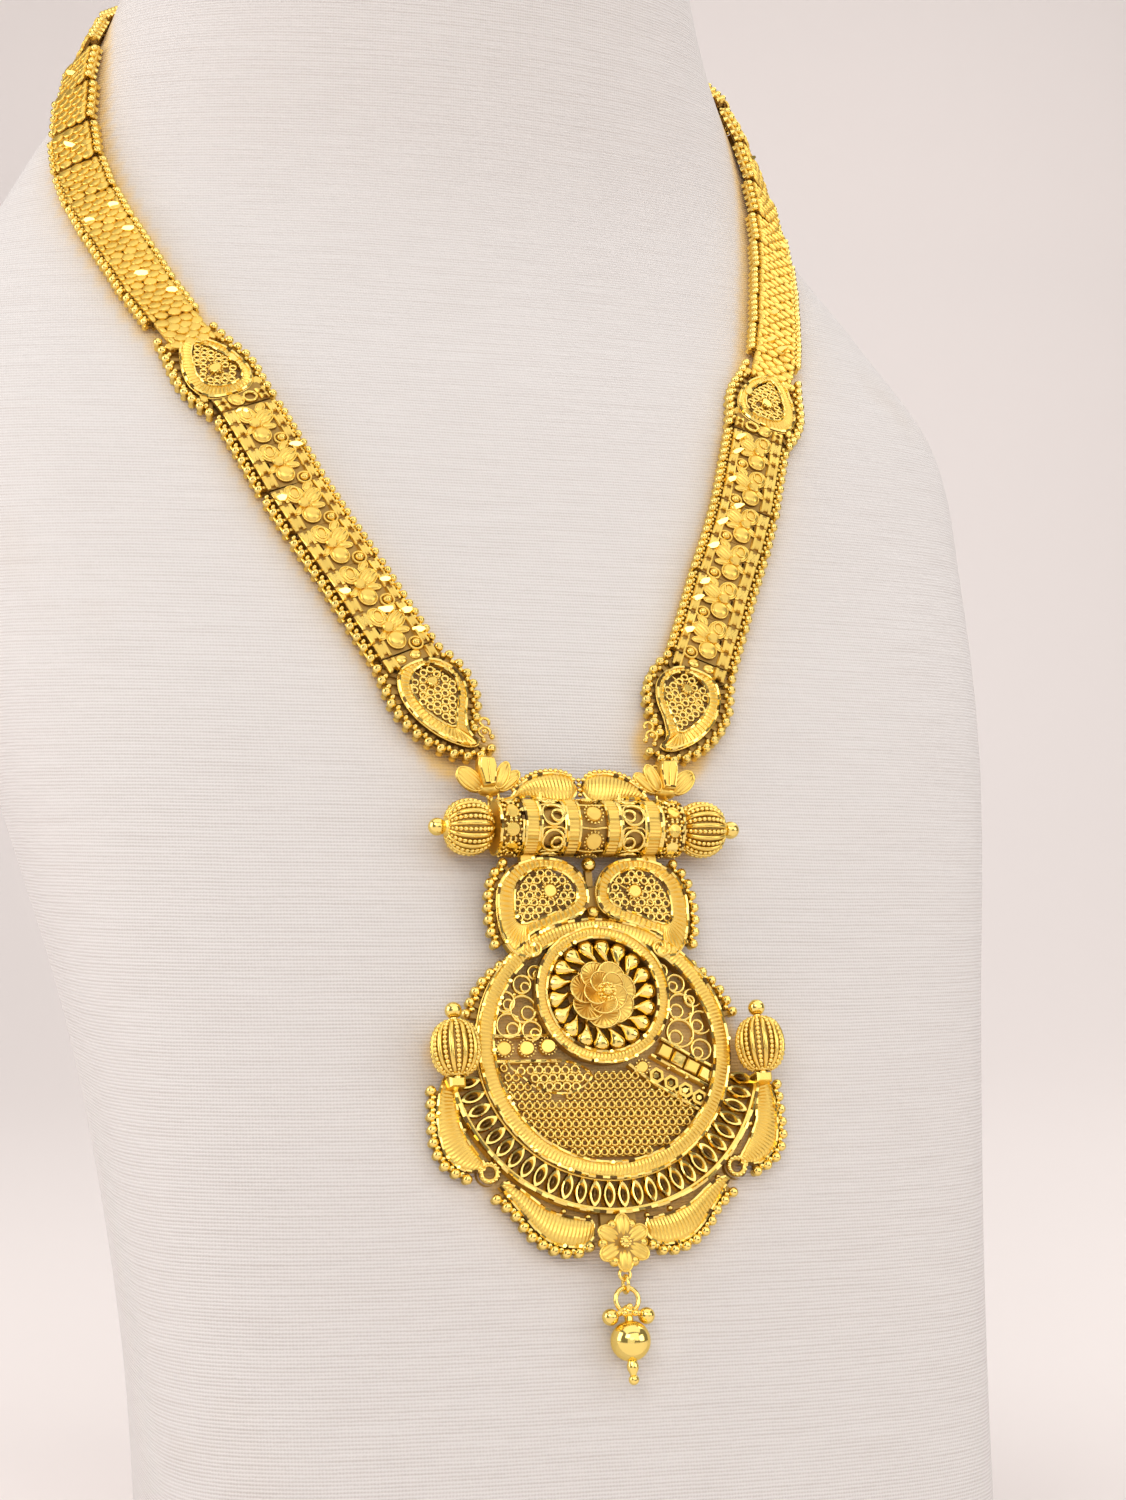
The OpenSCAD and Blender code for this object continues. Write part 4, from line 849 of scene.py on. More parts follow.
def paisley_mid():
    t = band_teardrop(MID_OUT, MID_WIN, (-0.4, -0.9), 1.45, ((MID_BEADS, 10), (MID_BEADS_IN, 10)),
                      MID_BEADS + MID_BEADS_IN[::-1])
    t.facet(oval(7, 0.75, 1.0), (3.6, 0.1), SHEET_Z + 0.6, SHEET_Z + 1.45, 0.2, (-0.1, 0.25))
    for pos in ((-4.9, 8.3), (4.4, 7.6), (-5.9, -6.9), (4.9, -6.6)):
        t.facet(oval(6, 0.8, 1.1), pos, SHEET_Z - 0.4, SHEET_Z + 0.7, 0.2, rng.uniform(-0.3, 0.3, 2), MATT)
    g = Heap()
    g.join(t, moved(0, 12))
    y0, l = trim(MID_START), span(MID_START, MID_END) - trim(MID_END)
    # The sheet under the rails is in the darker gold: painted shade
    g.box(*LOWER_X, y0, 5, SHEET_Z, TOP_Z, mat=PAINTED_SHADE)
    rails(g, 1.6, y0, 3.3)
    g.torus([1.6, 1.7, TOP_Z + 0.3], 1.2, 0.3, 0.35, 18, 6)
    petal(g, (-1.1, 1.9), 30, 1.2, 1.5, TOP_Z + 0.3, 0.7, 0)
    g.box(*UPPER_X, 19, l, SHEET_Z, TOP_Z, mat=MATT)
    scales(g, 19.4, l)
    return g


# The hinge pin at a link's lower end and the two rings at its upper end
def hinge_parts(s0, s1, wide):
    got = []
    if s0:
        g = Heap()
        x0, x1 = LOWER_X if wide else UPPER_X
        g.wire([[x0, 0, 1], [0, 0, 1], [x1, 0, 1]], 0.3, 8, BRIGHT)
        got.append((g, frame_at(s0)))
    if s1:
        g = Heap()
        for x in (-2.2, 1.2):
            g.side_ring((x, 0, 1.0), 0.6, 0.2, 14, 6, BRIGHT)
            g.box(x - 0.2, x + 0.2, -1.3, -0.55, 0.7, SHEET_Z + 0.1, 0.05)
        got.append((g, frame_at(s1)))
    return got


# Bright flat cuts on some links (link, x, y), turned as they would be to catch the lamp
FLASHES = {"left": [(1, 4.0, 2.6), (1, 4.0, 6.9), (1, 0.9, 8.4), (2, 4.0, 4.4), (2, -3.8, 4.7), (4, -3.8, 7.6),
                    (5, 4.0, 7.8), (6, -1.6, 8.5), (7, 2.4, 6.4), (8, -0.5, 3.0), (9, 2.3, 6.4), (10, -3.1, 2.4),
                    (10, 2.4, 4.2), (12, -0.6, 5.0), (14, -0.4, 4.6)],
           "right": [(1, 4.0, 4.7), (2, 4.0, 3.0), (2, 3.6, 7.2), (3, 4.0, 6.4), (4, 3.9, 3.2), (4, 1.9, 8.4),
                     (5, 4.0, 4.8), (6, 3.9, 2.8), (6, 3.8, 7.0), (7, -1.0, 2.4), (7, 1.4, 4.6), (8, 0.9, 5.0),
                     (11, -2.8, 3.6), (13, 1.8, 7.0)]}


# One such cut: it faces half way between the lamp and the camera
def mirror_facet(m, x, y, mirror):
    way = np.array([-1, 1, 1]) if mirror else np.ones(3)
    at = m @ [x, y, 3, 1]
    n = m[:, :3].T @ (unit(KEY_AT * way - at) + unit(EYE_AT * way - at))
    g = Heap()
    size = 0.9 if abs(x) > 1 else 1.05
    cut = oval(7, 0.75 * size, 1.65 * size) * rng.uniform(0.7, 1.05, (7, 1)) @ turned(60)
    g.facet(cut, (x, y), TOP_Z, TOP_Z + 0.8, 0.15, np.clip(-n[:2] / n[2], -0.5, 0.5) + rng.uniform(-0.05, 0.05, 2))
    return g


# The last link's ring for the back chain, and the tab that holds it
def chain_end(s):
    ring, e, tab = Heap(), Heap(), Heap()
    ring.torus([0, 0, 0], 1.9, 0.42, 0.42, 20, 8)
    cos, sin = direction(45)
    e.join(ring, np.array([[cos, 0, sin, 0], [0, 1, 0, 0], [-sin, 0, cos, 2.6]]))
    tab.box(-1, 1, -1, 0.3, SHEET_Z, TOP_Z)
    return [(e, frame_at(s + 1.6)), (tab, frame_at(s))]


# Both sides of the band: two teardrops and the links
def band():
    low, up = lower_unit(), upper_unit()
    teardrops = (("lower", paisley_lower(), 0, LOWER_END), ("mid", paisley_mid(), MID_START, MID_END))
    for side in SIDES:
        mirror = side == "right"
        for which, g, s0, s1 in teardrops:
            name = side + "_" + which + "_paisley"
            piece(name + "_gold", name, [(g, between(s0, s1))] + hinge_parts(s0, s1, True), mirror)
        for i in range(1, LAST_LINK + 1):
            lower = i <= LAST_LOWER
            s0 = LOWER_END + (i - 1) * LOWER_PITCH if lower else MID_END + (i - 1 - LAST_LOWER) * UPPER_PITCH
            s1 = s0 + (LOWER_PITCH if lower else UPPER_PITCH)
            y0, y1 = trim(s0) - 0.09, span(s0, s1) - trim(s1) + 0.09
            m = between(s0, s1)
            m = np.column_stack([m[:, 0], m[:, 1] * (y1 - y0) / (LOWER_L if lower else UPPER_L), m[:, 2],
                                 m[:, 3] + m[:, 1] * y0])
            extra = [(mirror_facet(m, x, y, mirror), m) for j, x, y in FLASHES[side] if j == i]
            if i == LAST_LINK:
                extra += chain_end(s1)
            name = "%s_link_%d" % (side, i)
            hinges = hinge_parts(s0, 0 if i == LAST_LINK else s1, lower)
            piece(name + "_gold", name, [(low if lower else up, m)] + extra + hinges, mirror)


# Melon bead along z: a barrel with plain ribs and rows of grains between them
def melon(length, r, ribs):
    def side(r, end, n):
        a = np.radians(np.linspace(-end, end, n))
        return np.column_stack([r * np.cos(a) ** 0.7, length / 2 * np.sin(a) / math.sin(math.radians(75))])

    def stood(line, t):
        return np.column_stack([line[:, 0] * math.cos(t), line[:, 0] * math.sin(t), line[:, 1]])
    g = Heap()
    # The core between the ribs is in the darker gold: painted shade in the grooves
    g.lathe([0, 0, 0], side(r - 0.6, 75, 15), 3 * ribs, PAINTED_SHADE)
    line = side(r - 0.34, 72, 200)
    grains, rib_line = resample(line, step=0.8), resample(line, step=0.7)
    wide = grains[:, 0] > 0.6 * r
    ang = (np.arange(8) * np.pi / 4)[:, None, None]
    w = 0.47 * (0.25 + 0.75 * rib_line[:, 0] / r)
    for k in range(ribs):
        p = stood(grains, 2 * np.pi * k / ribs)
        g.balls(p[wide], 0.42, 8, 6)
        g.balls(p[~wide], 0.3, 6, 4)
        t = 2 * np.pi * (k + 0.5) / ribs
        p = stood(rib_line, t)
        tt = unit(np.gradient(p, axis=0))
        n1 = np.broadcast_to([-math.sin(t), math.cos(t), 0], tt.shape)
        rib = p[None] + w[None, :, None] * (np.cos(ang) * n1 + 0.8 * np.sin(ang) * np.cross(tt, n1))
        g.grid(rib, cu=True, bottom=p[0], top=p[-1])
    for z in (-length / 2, length / 2):
        g.torus([0, 0, z * 0.99], 1.25 * r / 4.8, 0.28, 0.28, 18, 6, BRIGHT)
    return g


SIDE_LEAF = ([[-27.2, -4.4], [-28.4, -7.6], [-28.9, -11.4], [-28.6, -15], [-27.4, -17.8],
              [-24.8, -19.6], [-21.6, -19.6]],
             [[-26.6, -4.6], [-26, -7], [-25.6, -9.6], [-25.2, -12.4], [-24.2, -14.8],
              [-23, -16.8], [-21.6, -18.6]])
LOW_LEAF = ([[-19.4, -22.2], [-17.6, -24.6], [-15, -28], [-12.6, -30.6], [-9.8, -31.9], [-7, -32.1], [-4.6, -31]],
            [[-19.2, -21.6], [-17, -22.2], [-14.6, -24], [-12.2, -25.9], [-9.4, -27.1], [-6.8, -27.7], [-4.4, -28]])
SHOULDER_BEADS = [[-14.9, 14.9], [-18.3, 12.6], [-21.2, 9.4], [-23, 5.8]]
SIDE_BEADS = [[-29.6, -6.6], [-29.8, -11], [-29.6, -15.6], [-28, -18.8], [-24.6, -20.9]]
LOW_BEADS = [[-20, -24.2], [-17.2, -26.6], [-14.7, -30.2], [-11, -32.6], [-7.6, -33.2], [-5.2, -32.2]]


# Bars through the medallion's work, with a cut edge on top
def work_bars(g, *lines):
    for line in lines:
        p = np.array(line, float)
        for a, b in zip(p[:-1], p[1:]):
            g.bar(a, b, 0.25, BACK, 0.75, 0.08, SATIN)
        g.cut(lifted(p, 0.75), 0.25)


# A pointed and hollowed spoke on the line e, tilted by a little
def spoke(outline, e, tilt):
    def ring(k, z):
        return np.column_stack([outline * k, np.full(len(outline), z) + outline[:, 0] * k * tilt])
    one, g = Heap(), Heap()
    one.grid(np.stack([ring(1, BACK), ring(1, 0.35), ring(0.84, 0.85), ring(0.6, 0.8)], 1), BRIGHT, False, cu=True,
             bottom=[0, 0, BACK])
    one.grid(np.stack([ring(0.6, 0.8), ring(0.42, 0.35)], 1), SATIN, False, cu=True)
    # The bottom of the hollow is in the near-black gold: a painted dark reflection
    one.grid(np.stack([ring(0.42, 0.35), ring(0.2, 0.1)], 1), PAINTED_DARK, False, cu=True, top=[0, 0, 0])
    x, y = e * SPOKE_R
    g.join(one, np.array([[-e[1], e[0], 0, x], [e[0], e[1], 0, y], [0, 0, 1, 0]]))
    return g


# The medallion's work inside the ring: scrolls at the top, and bars, gems and a combed leaf on the left
def scrollwork(g):
    z = 0.5
    for x, y, r in ((-13.3, 6.5, 2.2), (-16, 3.8, 2.0), (-16.4, 7.8, 1.7), (-12.1, 2.9, 1.6), (13.9, 6.6, 2.2),
                    (13.4, 2.2, 2.3), (17.2, 4, 1.9), (16.8, -0.6, 1.7), (16.2, 8.2, 1.5), (-13.2, 10.6, 1.5),
                    (13.4, 10.6, 1.5), (-10.9, 12.6, 1.1), (11, 12.8, 1.1)):
        g.torus([x, y, z], r, 0.27, 0.5, 30, 7, BRIGHT)
        g.torus([x - math.copysign(r * 0.36, x), y - r * 0.3, z], r * 0.5, 0.25, 0.5, 20, 6, BRIGHT)
    joints = [[-14.7, 8.9], [-14.5, 5.2], [-11.2, 4.7], [15.5, 5.4], [12, 4.5], [15.4, 1.3], [14.9, 8.7]]
    g.balls(lifted(joints, 0.6), 0.42, 8, 6)
    work_bars(g, [[-18.8, 2.1], [-9.6, 2.1]], [[-18.8, -2.1], [-7.5, -2.1]])
    for x, y, tilt in ((-17, 0, (0.1, 0)), (-13.2, 0, (0.3, -0.08)), (-9.6, 0.3, (0.45, -0.1))):
        g.gem(x, y, 1.55, BACK, 1.15, 16, tilt)
    leaf = curve([[-16.5, -2.2], [-14, -4.9], [-12, -6.4], [-8, -7.5], [-5, -6.8], [-2.5, -4.5], [-6, -2.3],
                  [-11, -2.2]], 8, True)
    g.comb(leaf, 1.5, 0.4, 0.4, 0.35, (), 0.26, 0.5)
    g.cut(lifted(leaf, 0.75), 0.22, True)


# Rows of small scales below, on wires
def scale_net(g):
    net = np.concatenate([circle(18.6, 60, a0=187, a1=353)[:, :2],
                          [[16.9, -8.2], [12.4, -6.9], [8.3, -6.2], [4, -2.9], [1, -3.1], [-2.5, -4.6], [-5, -7.1],
                           [-8, -7.9], [-12, -6.8], [-14, -5.2], [-16.6, -2.5]]])
    pts = lattice(net, 1.27, 0.25, (), 1.22)
    pts = pts[np.argsort(pts[:, 1])]
    g.torus(lifted(pts, 0.15), 0.56, 0.23, 0.5, 8, 5)
    g.balls(lifted(pts + [0, 0.62], 0.62), 0.28, 6, 4)
    for y in np.unique(np.round(pts[:, 1], 3)):
        x = pts[np.round(pts[:, 1], 3) == y][:, 0]
        if len(x) > 1 and y < -8:
            x0, x1 = x.min(), x.max()
            g.wire([[k, y - 0.62, -0.05] for k in (x0 - 0.8, (x0 + x1) / 2, x1 + 0.8)], 0.17, 5)


# On the right: three cut bars with a gem, a row of hexagons and a row of tiles
def right_bars(g):
    work_bars(g, [[4, -2.8], [8.3, -6.2], [15.6, -10.6]], [[8, -1.3], [12.3, -3.8], [17.6, -6.7]],
              [[10, 1.4], [14.5, -1.3], [18.7, -3.5]])
    g.gem(6.3, -3.3, 1.3, BACK, 1.0, 12)
    hexagon = oval(6, 1.35, 1.35) @ turned(-30)
    for at in ((8.6, -4.8), (11.0, -6.05), (13.4, -7.3), (15.7, -8.55)):
        g.ribbon(hexagon + at, hexagon * 0.62 + at, 1.35, 0.9, 0, 0.0, BACK, True, 1, MATT)
        g.facet(hexagon * 0.4, at, BACK, 0.75, 0.12, rng.uniform(-0.3, 0.3, 2))
    tile = np.array([[-1.15, -1.05], [1.15, -1.05], [1.15, 1.05], [-1.15, 1.05]]) @ turned(-30)
    tiles = (((10.5, -0.75), (0.1, 0.05)), ((12.75, -2.1), (-0.05, 0.12)), ((15, -3.4), (0.12, -0.05)),
             ((17.2, -4.7), (-0.1, 0.05)))
    for k, (at, tilt) in enumerate(tiles):
        g.facet(tile, at, BACK, 1.0, 0.35, tilt, (MATT, BRIGHT)[k % 2])
    joints = [[10.8, -3.6], [13.8, -5.2], [16.6, -7], [8, -4.2], [12, 0.2], [16, -2.2]]
    g.balls(lifted(joints, 0.5), 0.4, 8, 6)


# Border leaves, edge beads, milled rings and posts on the left side
def medallion_side():
    half = Heap()
    for o, i in (SIDE_LEAF, LOW_LEAF):
        o, i = curve(o, 10), curve(i, 10)
        half.ribbon(o, i, RIDGE, RING - 0.78, 0.16, 0.45, BACK, False, 6, MATT, slant=0.8)
        half.cut(lifted(np.concatenate([o, i[::-1]]), RING - 0.64), 0.24, True, 1.0, 0.8)
    side_home, low_home = (np.array(o + i[::-1], float) for o, i in (SIDE_LEAF, LOW_LEAF))
    for line, home in ((SHOULDER_BEADS, circle(21.5)[:, :2]), (SIDE_BEADS, side_home), (LOW_BEADS, low_home)):
        c = curve(line)
        edge_row(half, c, int(round(line_length(c) / 2.1)) + 1, home, PENDANT_EDGE)
        half.plate(np.concatenate([c, nearest(c, resample(home, n=300, closed=True))[::-1]]), [], BACK, BACK + 0.7)
    half.torus([-21, -20, 0.7], 1.35, 0.45, 0.6, 24, 8)
    # The drum inside the milled ring is in the darker gold: painted shade
    half.lathe([-21, -20, 0], [[2.0, BACK], [2.0, 0.4]], 20, PAINTED_SHADE, ends=False)
    half.balls(circle(1.5, 14, 1.15, (-21, -20)), 0.3, 6, 4)
    half.box(-27.4, -24.8, -6.8, -5.2, BACK, 4.6, 0.4)
    post = Heap()
    post.lathe([0, 0, 0], [[0.6, -5.6], [0.6, 5]], 12, BRIGHT)
    half.join(post, along_y(-26, 0, 4))
    half.balls([-26, 5.6, 4], 1.4, 16, 10)
    # Ties between the fan's wire and the leaves
    ties = [[-25.6, -8.6], [-24.4, -13], [-17.8, -21.6], [-9, -26.4], [-5, -27.4]]
    half.balls(lifted(ties, 0.1), 0.55, 8, 6, SATIN)
    half.plate([[-3, -33], [0, -33], [0, -26.6], [-3, -26.5]], [], BACK, PLATE)
    for o, _ in (SIDE_LEAF, LOW_LEAF):
        half.sparks(lifted(curve(o), RING - 0.5), 3)
    return half


# The big ring (a body, a ridged band and two cut rims), the fan and the work inside
def medallion():
    g = Heap()
    # The ring's body under the ridged band is in the darker gold: painted shade
    g.ring_ribbon(RING_R, RING_IN, 96, 1.4, RING - 0.55, 0.0, 0.0, BACK, 2, PAINTED_SHADE)
    g.ring_ribbon(21.3, 19.08, 720, RIDGE, RING - 0.26, 0.17, 0.14, 0.5, 5, MATT)
    for r, step in ((21.42, 1.2), (18.94, 1.1)):
        g.cut(circle(r, 200, RING - 0.14), 0.26, True, step, 0.8)
    g.wire(circle(RING_R, 120, 0.4), 0.28, closed=True)
    for r, n in ((21.4, 14), (18.95, 9)):
        g.sparks(circle(r, 200, RING + 0.05), n)
    # Fan of spokes between the ring and an outer wire
    a = around(16)
    lens = np.column_stack([1.08 * np.sign(np.sin(a)) * abs(np.sin(a)) ** 1.4, 2.45 * np.cos(a)])[::-1]
    for ang in 193 + np.arange(28) * 154 / 27:
        g.join(spoke(lens, direction(ang), rng.uniform(-0.12, 0.12)))
    arc = circle(FAN_R, 110, 0, a0=190, a1=350)
    rim, inner = (arc[:, :2] * (r / FAN_R) for r in (27.1, 26.2))
    g.ribbon(rim, inner, 1.2, 1.1, 0, 0.1, BACK, False, 2, SATIN)
    g.cut(arc + [0, 0, 1.25], 0.34, False, 1.1)
    scrollwork(g)
    scale_net(g)
    right_bars(g)
    # The rosette's seat, in the darker gold: painted shade under the rosette
    g.ring_ribbon(10.6, 9.6, 120, 2, 0.3, 0, 0, BACK, 1, PAINTED_SHADE, (0, ROSETTE_Y))
    g.both_sides(medallion_side())
    pendant_piece("medallion", g)


# Cupped round petals that lie over one another like a screw, with fine lines towards their edges
def cupped_petals(g, n, d, r, z0, cup, slope, lean, turn):
    u = around(72)[:, None]
    v = np.linspace(0.12, 1, 7)[None]
    line = 0.07 * (1 - np.cos(18 * u)) * v
    p, q = d + r * v * np.cos(u), r * 1.12 * v * np.sin(u)
    z = z0 + cup * v ** 2 + slope * (p - d) / r + lean * q / r + line
    top = np.dstack([p, q, z])
    one = Heap()
    one.grid(np.concatenate([top - [0, 0, 0.28], top[:, ::-1]], 1), MATT, cu=True, bottom=[d, 0, z0 - 0.28],
             top=[d, 0, z0])
    one.wire(np.column_stack([p[:, -1] - 0.04, q[:, -1], (z - line)[:, -1] + 0.04])[::4], 0.15, 5, BRIGHT, True)
    for k in range(n):
        g.join(one, spun(k * 360 / n + turn))


# A ridged ring, a round of commas, two rounds of petals and a bead
def rosette():
    g = Heap()
    # The ring's body under the ridged band is in the darker gold: painted shade
    g.ring_ribbon(11.5, 9.4, 96, 1.2, 2.2, 0, 0, PLATE + 0.12, 2, PAINTED_SHADE)
    g.ring_ribbon(11.22, 9.75, 400, RIDGE, 2.46, 0.17, 0.12, 1.5, 5, MATT)
    rims = ((11.33, 120, 1.1, 8), (9.62, 110, 1.0, 6))
    for r, n, step, _ in rims:
        g.cut(circle(r, n, 2.58), 0.25, True, step, 0.8)
    for r, n, _, sparks in rims:
        g.sparks(circle(r, n, 2.78), sparks)
    comma = Heap()
    shape = [[0.2, 1.95], [-0.95, 1.6], [-1.25, 0.5], [-0.75, -0.5], [-0.1, -1.3], [0.7, -2.3], [1.15, -2.3],
             [0.95, -1.3], [1.05, -0.4], [1.3, 0.6], [1.1, 1.5]]
    comma.blob(curve(shape, 4, True), (0, 0), 0.95, 1.5, 0.9, 6, BRIGHT, 0.6)
    comma.wire(curve([[0.9, -2.2, 1.5], [0.6, -2.9, 1.6], [0.1, -3.4, 1.7]]), 0.32)
    for i in range(18):
        e = direction(i * 20 + 5)
        x, y = e * 7.55
        g.join(comma, np.array([[1.08 * e[1], 1.05 * e[0], 0, x], [-1.08 * e[0], 1.05 * e[1], 0, y],
                                [0, 0, 1.15, -0.2]]))
    # The seat of the petals is in the darker gold: painted shade
    g.ring_ribbon(5.6, 4.2, 60, 1.0, 1.2, 0, 0, 0.6, 1, PAINTED_SHADE)
    cupped_petals(g, 7, 3.4, 2.25, 2.3, 0.35, -0.15, 0.62, 10)
    cupped_petals(g, 5, 1.85, 1.8, 3.5, 0.45, 0.0, 0.65, 40)
    g.lathe([0, 0, 0], [[1.6, 1.0], [1.6, 4.4]], 16)
    g.balls([0, 0, 4.9], 0.95, 14, 8, SATIN)
    g.balls(circle(1.25, 12, 4.95), 0.27, 6, 4)
    g.balls(circle(0.55, 6, 5.65), 0.24, 6, 4)
    pendant_piece("rosette", g, moved(0, ROSETTE_Y))


# Twin teardrops that hang from sleeves round the tube
def paisley_plate():
    g = Heap()
    half = teardrop(TWIN_OUT, TWIN_WIN, (-7.4, 26.2), 1.5, 0.6, 1.15, 1.45, (0.04, -0.03))
    out_line = anticlockwise(TWIN_OUT)
    half.grid(np.stack([lifted(out_line, BACK), lifted(out_line, 0.8)], 1), cu=True)
    edge_row(half, curve(TWIN_BEADS), 8, TWIN_OUT, PENDANT_EDGE)
    half.plate([[-17.9, 20.8], [-17.2, 17.4], [-14.6, 18], [-14.8, 29], [-14.9, 31.2], [-17, 28.6], [-17.9, 24.8]], [],
               BACK, BACK + 0.7)
    half.sparks(lifted(TWIN_OUT, 1.8), 5)
    half.sparks(lifted(TWIN_WIN, 1.75), 3)
    # Curled tail, and the tab up to the sleeve round the tube
    t = np.linspace(0, 1, 26)[:, None]
    a, r = np.radians(200 + 330 * t), 1.7 - 1.2 * t
    half.wire(lifted(np.hstack([-10.9 + r * np.cos(a), 16.6 + r * np.sin(a)]), 1.7), 0.32, 7)
    half.box(-11.9, -9.3, 30.6, 32.7, -0.5, 1.2, mat=MATT)
    sleeve = Heap()
    n = 2 * int(math.pi * 5.0 / 0.34)
    a = around(n)[:, None]
    rad = np.array([4.4, 4.62, 4.62, 4.62, 4.62, 4.4]) + 0.13 * (np.arange(n) % 2)[:, None] * [0, 0, 1, 1, 0, 0]
    along = np.broadcast_to([0, 0, 0.3, 2.3, 2.6, 2.6], rad.shape)
    sleeve.grid(np.stack([rad * np.cos(a), rad * np.sin(a), along], -1), MATT, False, cu=True)
    for x in (0.12, 2.48):
        sleeve.cut(circle(4.76, 60, x), 0.24, True, 0.85)
    half.join(sleeve, along_x(-11.9, TUBE_Y, TUBE_Z))
    g.both_sides(half)
    # The stems between the twins are in the darker gold: painted shade
    g.box(-1.6, 1.6, 23.4, 27.4, BACK, PLATE, mat=PAINTED_SHADE)
    g.box(-0.6, 0.6, 27, 31, BACK, PLATE, mat=PAINTED_SHADE)
    g.balls([0, 31, 0.6], 1.25, 16, 10)
    g.balls([0, 22.7, 0.7], 1.15, 16, 10, SATIN)
    g.lathe([0, 22.9, 0], [[0.8, BACK], [0.8, 0.5]])
    pendant_piece("paisley_plate", g)


# Wraps work drawn flat (x, way round, height) onto the tube
def wrapped(h):
    g = Heap()
    for v, f, mat, sm in h.parts:
        a, r = v[:, 1] / TUBE_R, TUBE_R + v[:, 2]
        g.parts.append((np.column_stack([v[:, 0], TUBE_Y + r * np.sin(a), TUBE_Z + r * np.cos(a)]), f, mat, sm))
    return g


# The tube's work, drawn flat: ridged bands, panels of round facets and panels of open scrolls
def tube_work():
    flat = Heap()
    way = 2 * np.pi * TUBE_R
    ridges = 2 * (int(way / 0.34) // 2)

    def cut_round(x, n, z, *how):
        flat.cut(np.column_stack([np.full(n, x), np.linspace(0, way, n), np.full(n, z)]), *how)
    for m in (-1, 1):
        # A ridged band with cut rims
        x0, x1 = sorted((m * 2.4, m * 4.6))
        y = (np.arange(ridges) / ridges * way)[:, None]
        x = np.broadcast_to([x0, x0, x0 + 0.25, x1 - 0.25, x1, x1], (ridges, 6))
        ridge = 0.14 * (np.arange(ridges) % 2)[:, None]
        z = np.array([-0.5, 0.1, 0.3, 0.3, 0.1, -0.5]) + ridge * [0, 0.3, 1, 1, 0.3, 0]
        flat.grid(np.stack([x, np.broadcast_to(y, x.shape), z], -1)[:, ::-1], MATT, False, cu=True)
        for k in (x0, x1):
            cut_round(k, 33, 0.36, 0.24, False, 0.85)
        for k in (15.9, 12.2, 9.1, 4.95):
            cut_round(m * k, 41, 0.2, 0.3, False, 0.7, 0.5)
        # Panel of round facets
        for i in range(9):
            flat.gem(m * 14.05, (i + 0.5) * way / 9, 1.5, -0.5, 0.6, 10, rng.uniform(-0.3, 0.3, 2),
                     (MATT, BRIGHT, SATIN)[i % 3])
            for dx in (-1.35, 1.35):
                flat.balls([m * 14.05 + dx, i * way / 9, 0.0], 0.38, 8, 6)
        # Panel of open scrolls
        for i in range(6):
            y = (i + 0.25) * way / 6
            flat.torus([m * 7, y, 0.2], 1.85, 0.27, 0.4, 26, 6, BRIGHT)
            flat.torus([m * 6.3, y - 0.3, 0.2], 0.95, 0.27, 0.4, 18, 6, BRIGHT)
            hoop = ((4.9, 1.4, 0), (5.6, 2.2, 0.05), (7, 2.25, 0.1), (8.4, 2.2, 0.05), (9.1, 1.5, 0))
            flat.wire(curve([[m * x, y + dy, z] for x, dy, z in hoop]), 0.2, 6, BRIGHT)
    for i in range(6):
        y = (i + 0.25) * way / 6
        flat.gem(0, y, 1.75, -0.5, 0.6, 16)
        flat.wire([[-2.2, y + 2.25, 0], [0, y + 2.0, 0.05], [2.2, y + 2.25, 0]], 0.22, 6, BRIGHT)
    return flat


# The tube with its posts, knobs and hanging rings, and the melon beads on both pairs of posts
def barrel():
    g, tube, post, side = Heap(), Heap(), Heap(), Heap()
    # The tube under its work is in the darker gold: painted shade
    tube.lathe([0, 0, 0], [[3.95, -16.1], [3.95, 16.1]], 40, PAINTED_SHADE)
    for m in (-1, 1):
        tube.lathe([0, 0, m * 16.03], [[4.25, -0.12], [4.25, 0.12]], 40, MATT)
    g.join(tube, along_x(0, TUBE_Y, TUBE_Z))
    g.join(wrapped(tube_work()))
    post.lathe([0, 0, 0], [[0.6, 15.5], [0.6, 25]], 12, BRIGHT)
    post.balls([0, 0, 25.8], 1.5, 18, 12)
    post.lathe([0, 0, 0], [[1.9, 24.0], [1.5, 24.5], [0.8, 24.9]], 16)
    side.join(post, along_x(0, TUBE_Y, TUBE_Z))
    side.side_ring((15.5, 42.4, -1.6), 0.95, 0.3, 18, 7, SATIN)
    g.join(side, MIRROR)
    g.join(side)
    pendant_piece("barrel", g)
    big, small = melon(7.6, 4.8, 13), melon(8.6, 4.1, 11)
    for side in SIDES:
        pendant_piece(side + "_barrel_bead", big, along_x(-20.4, TUBE_Y, TUBE_Z), mirror=side == "right")
        pendant_piece(side + "_side_bead", small, along_y(-26, -0.5, 4), mirror=side == "right")


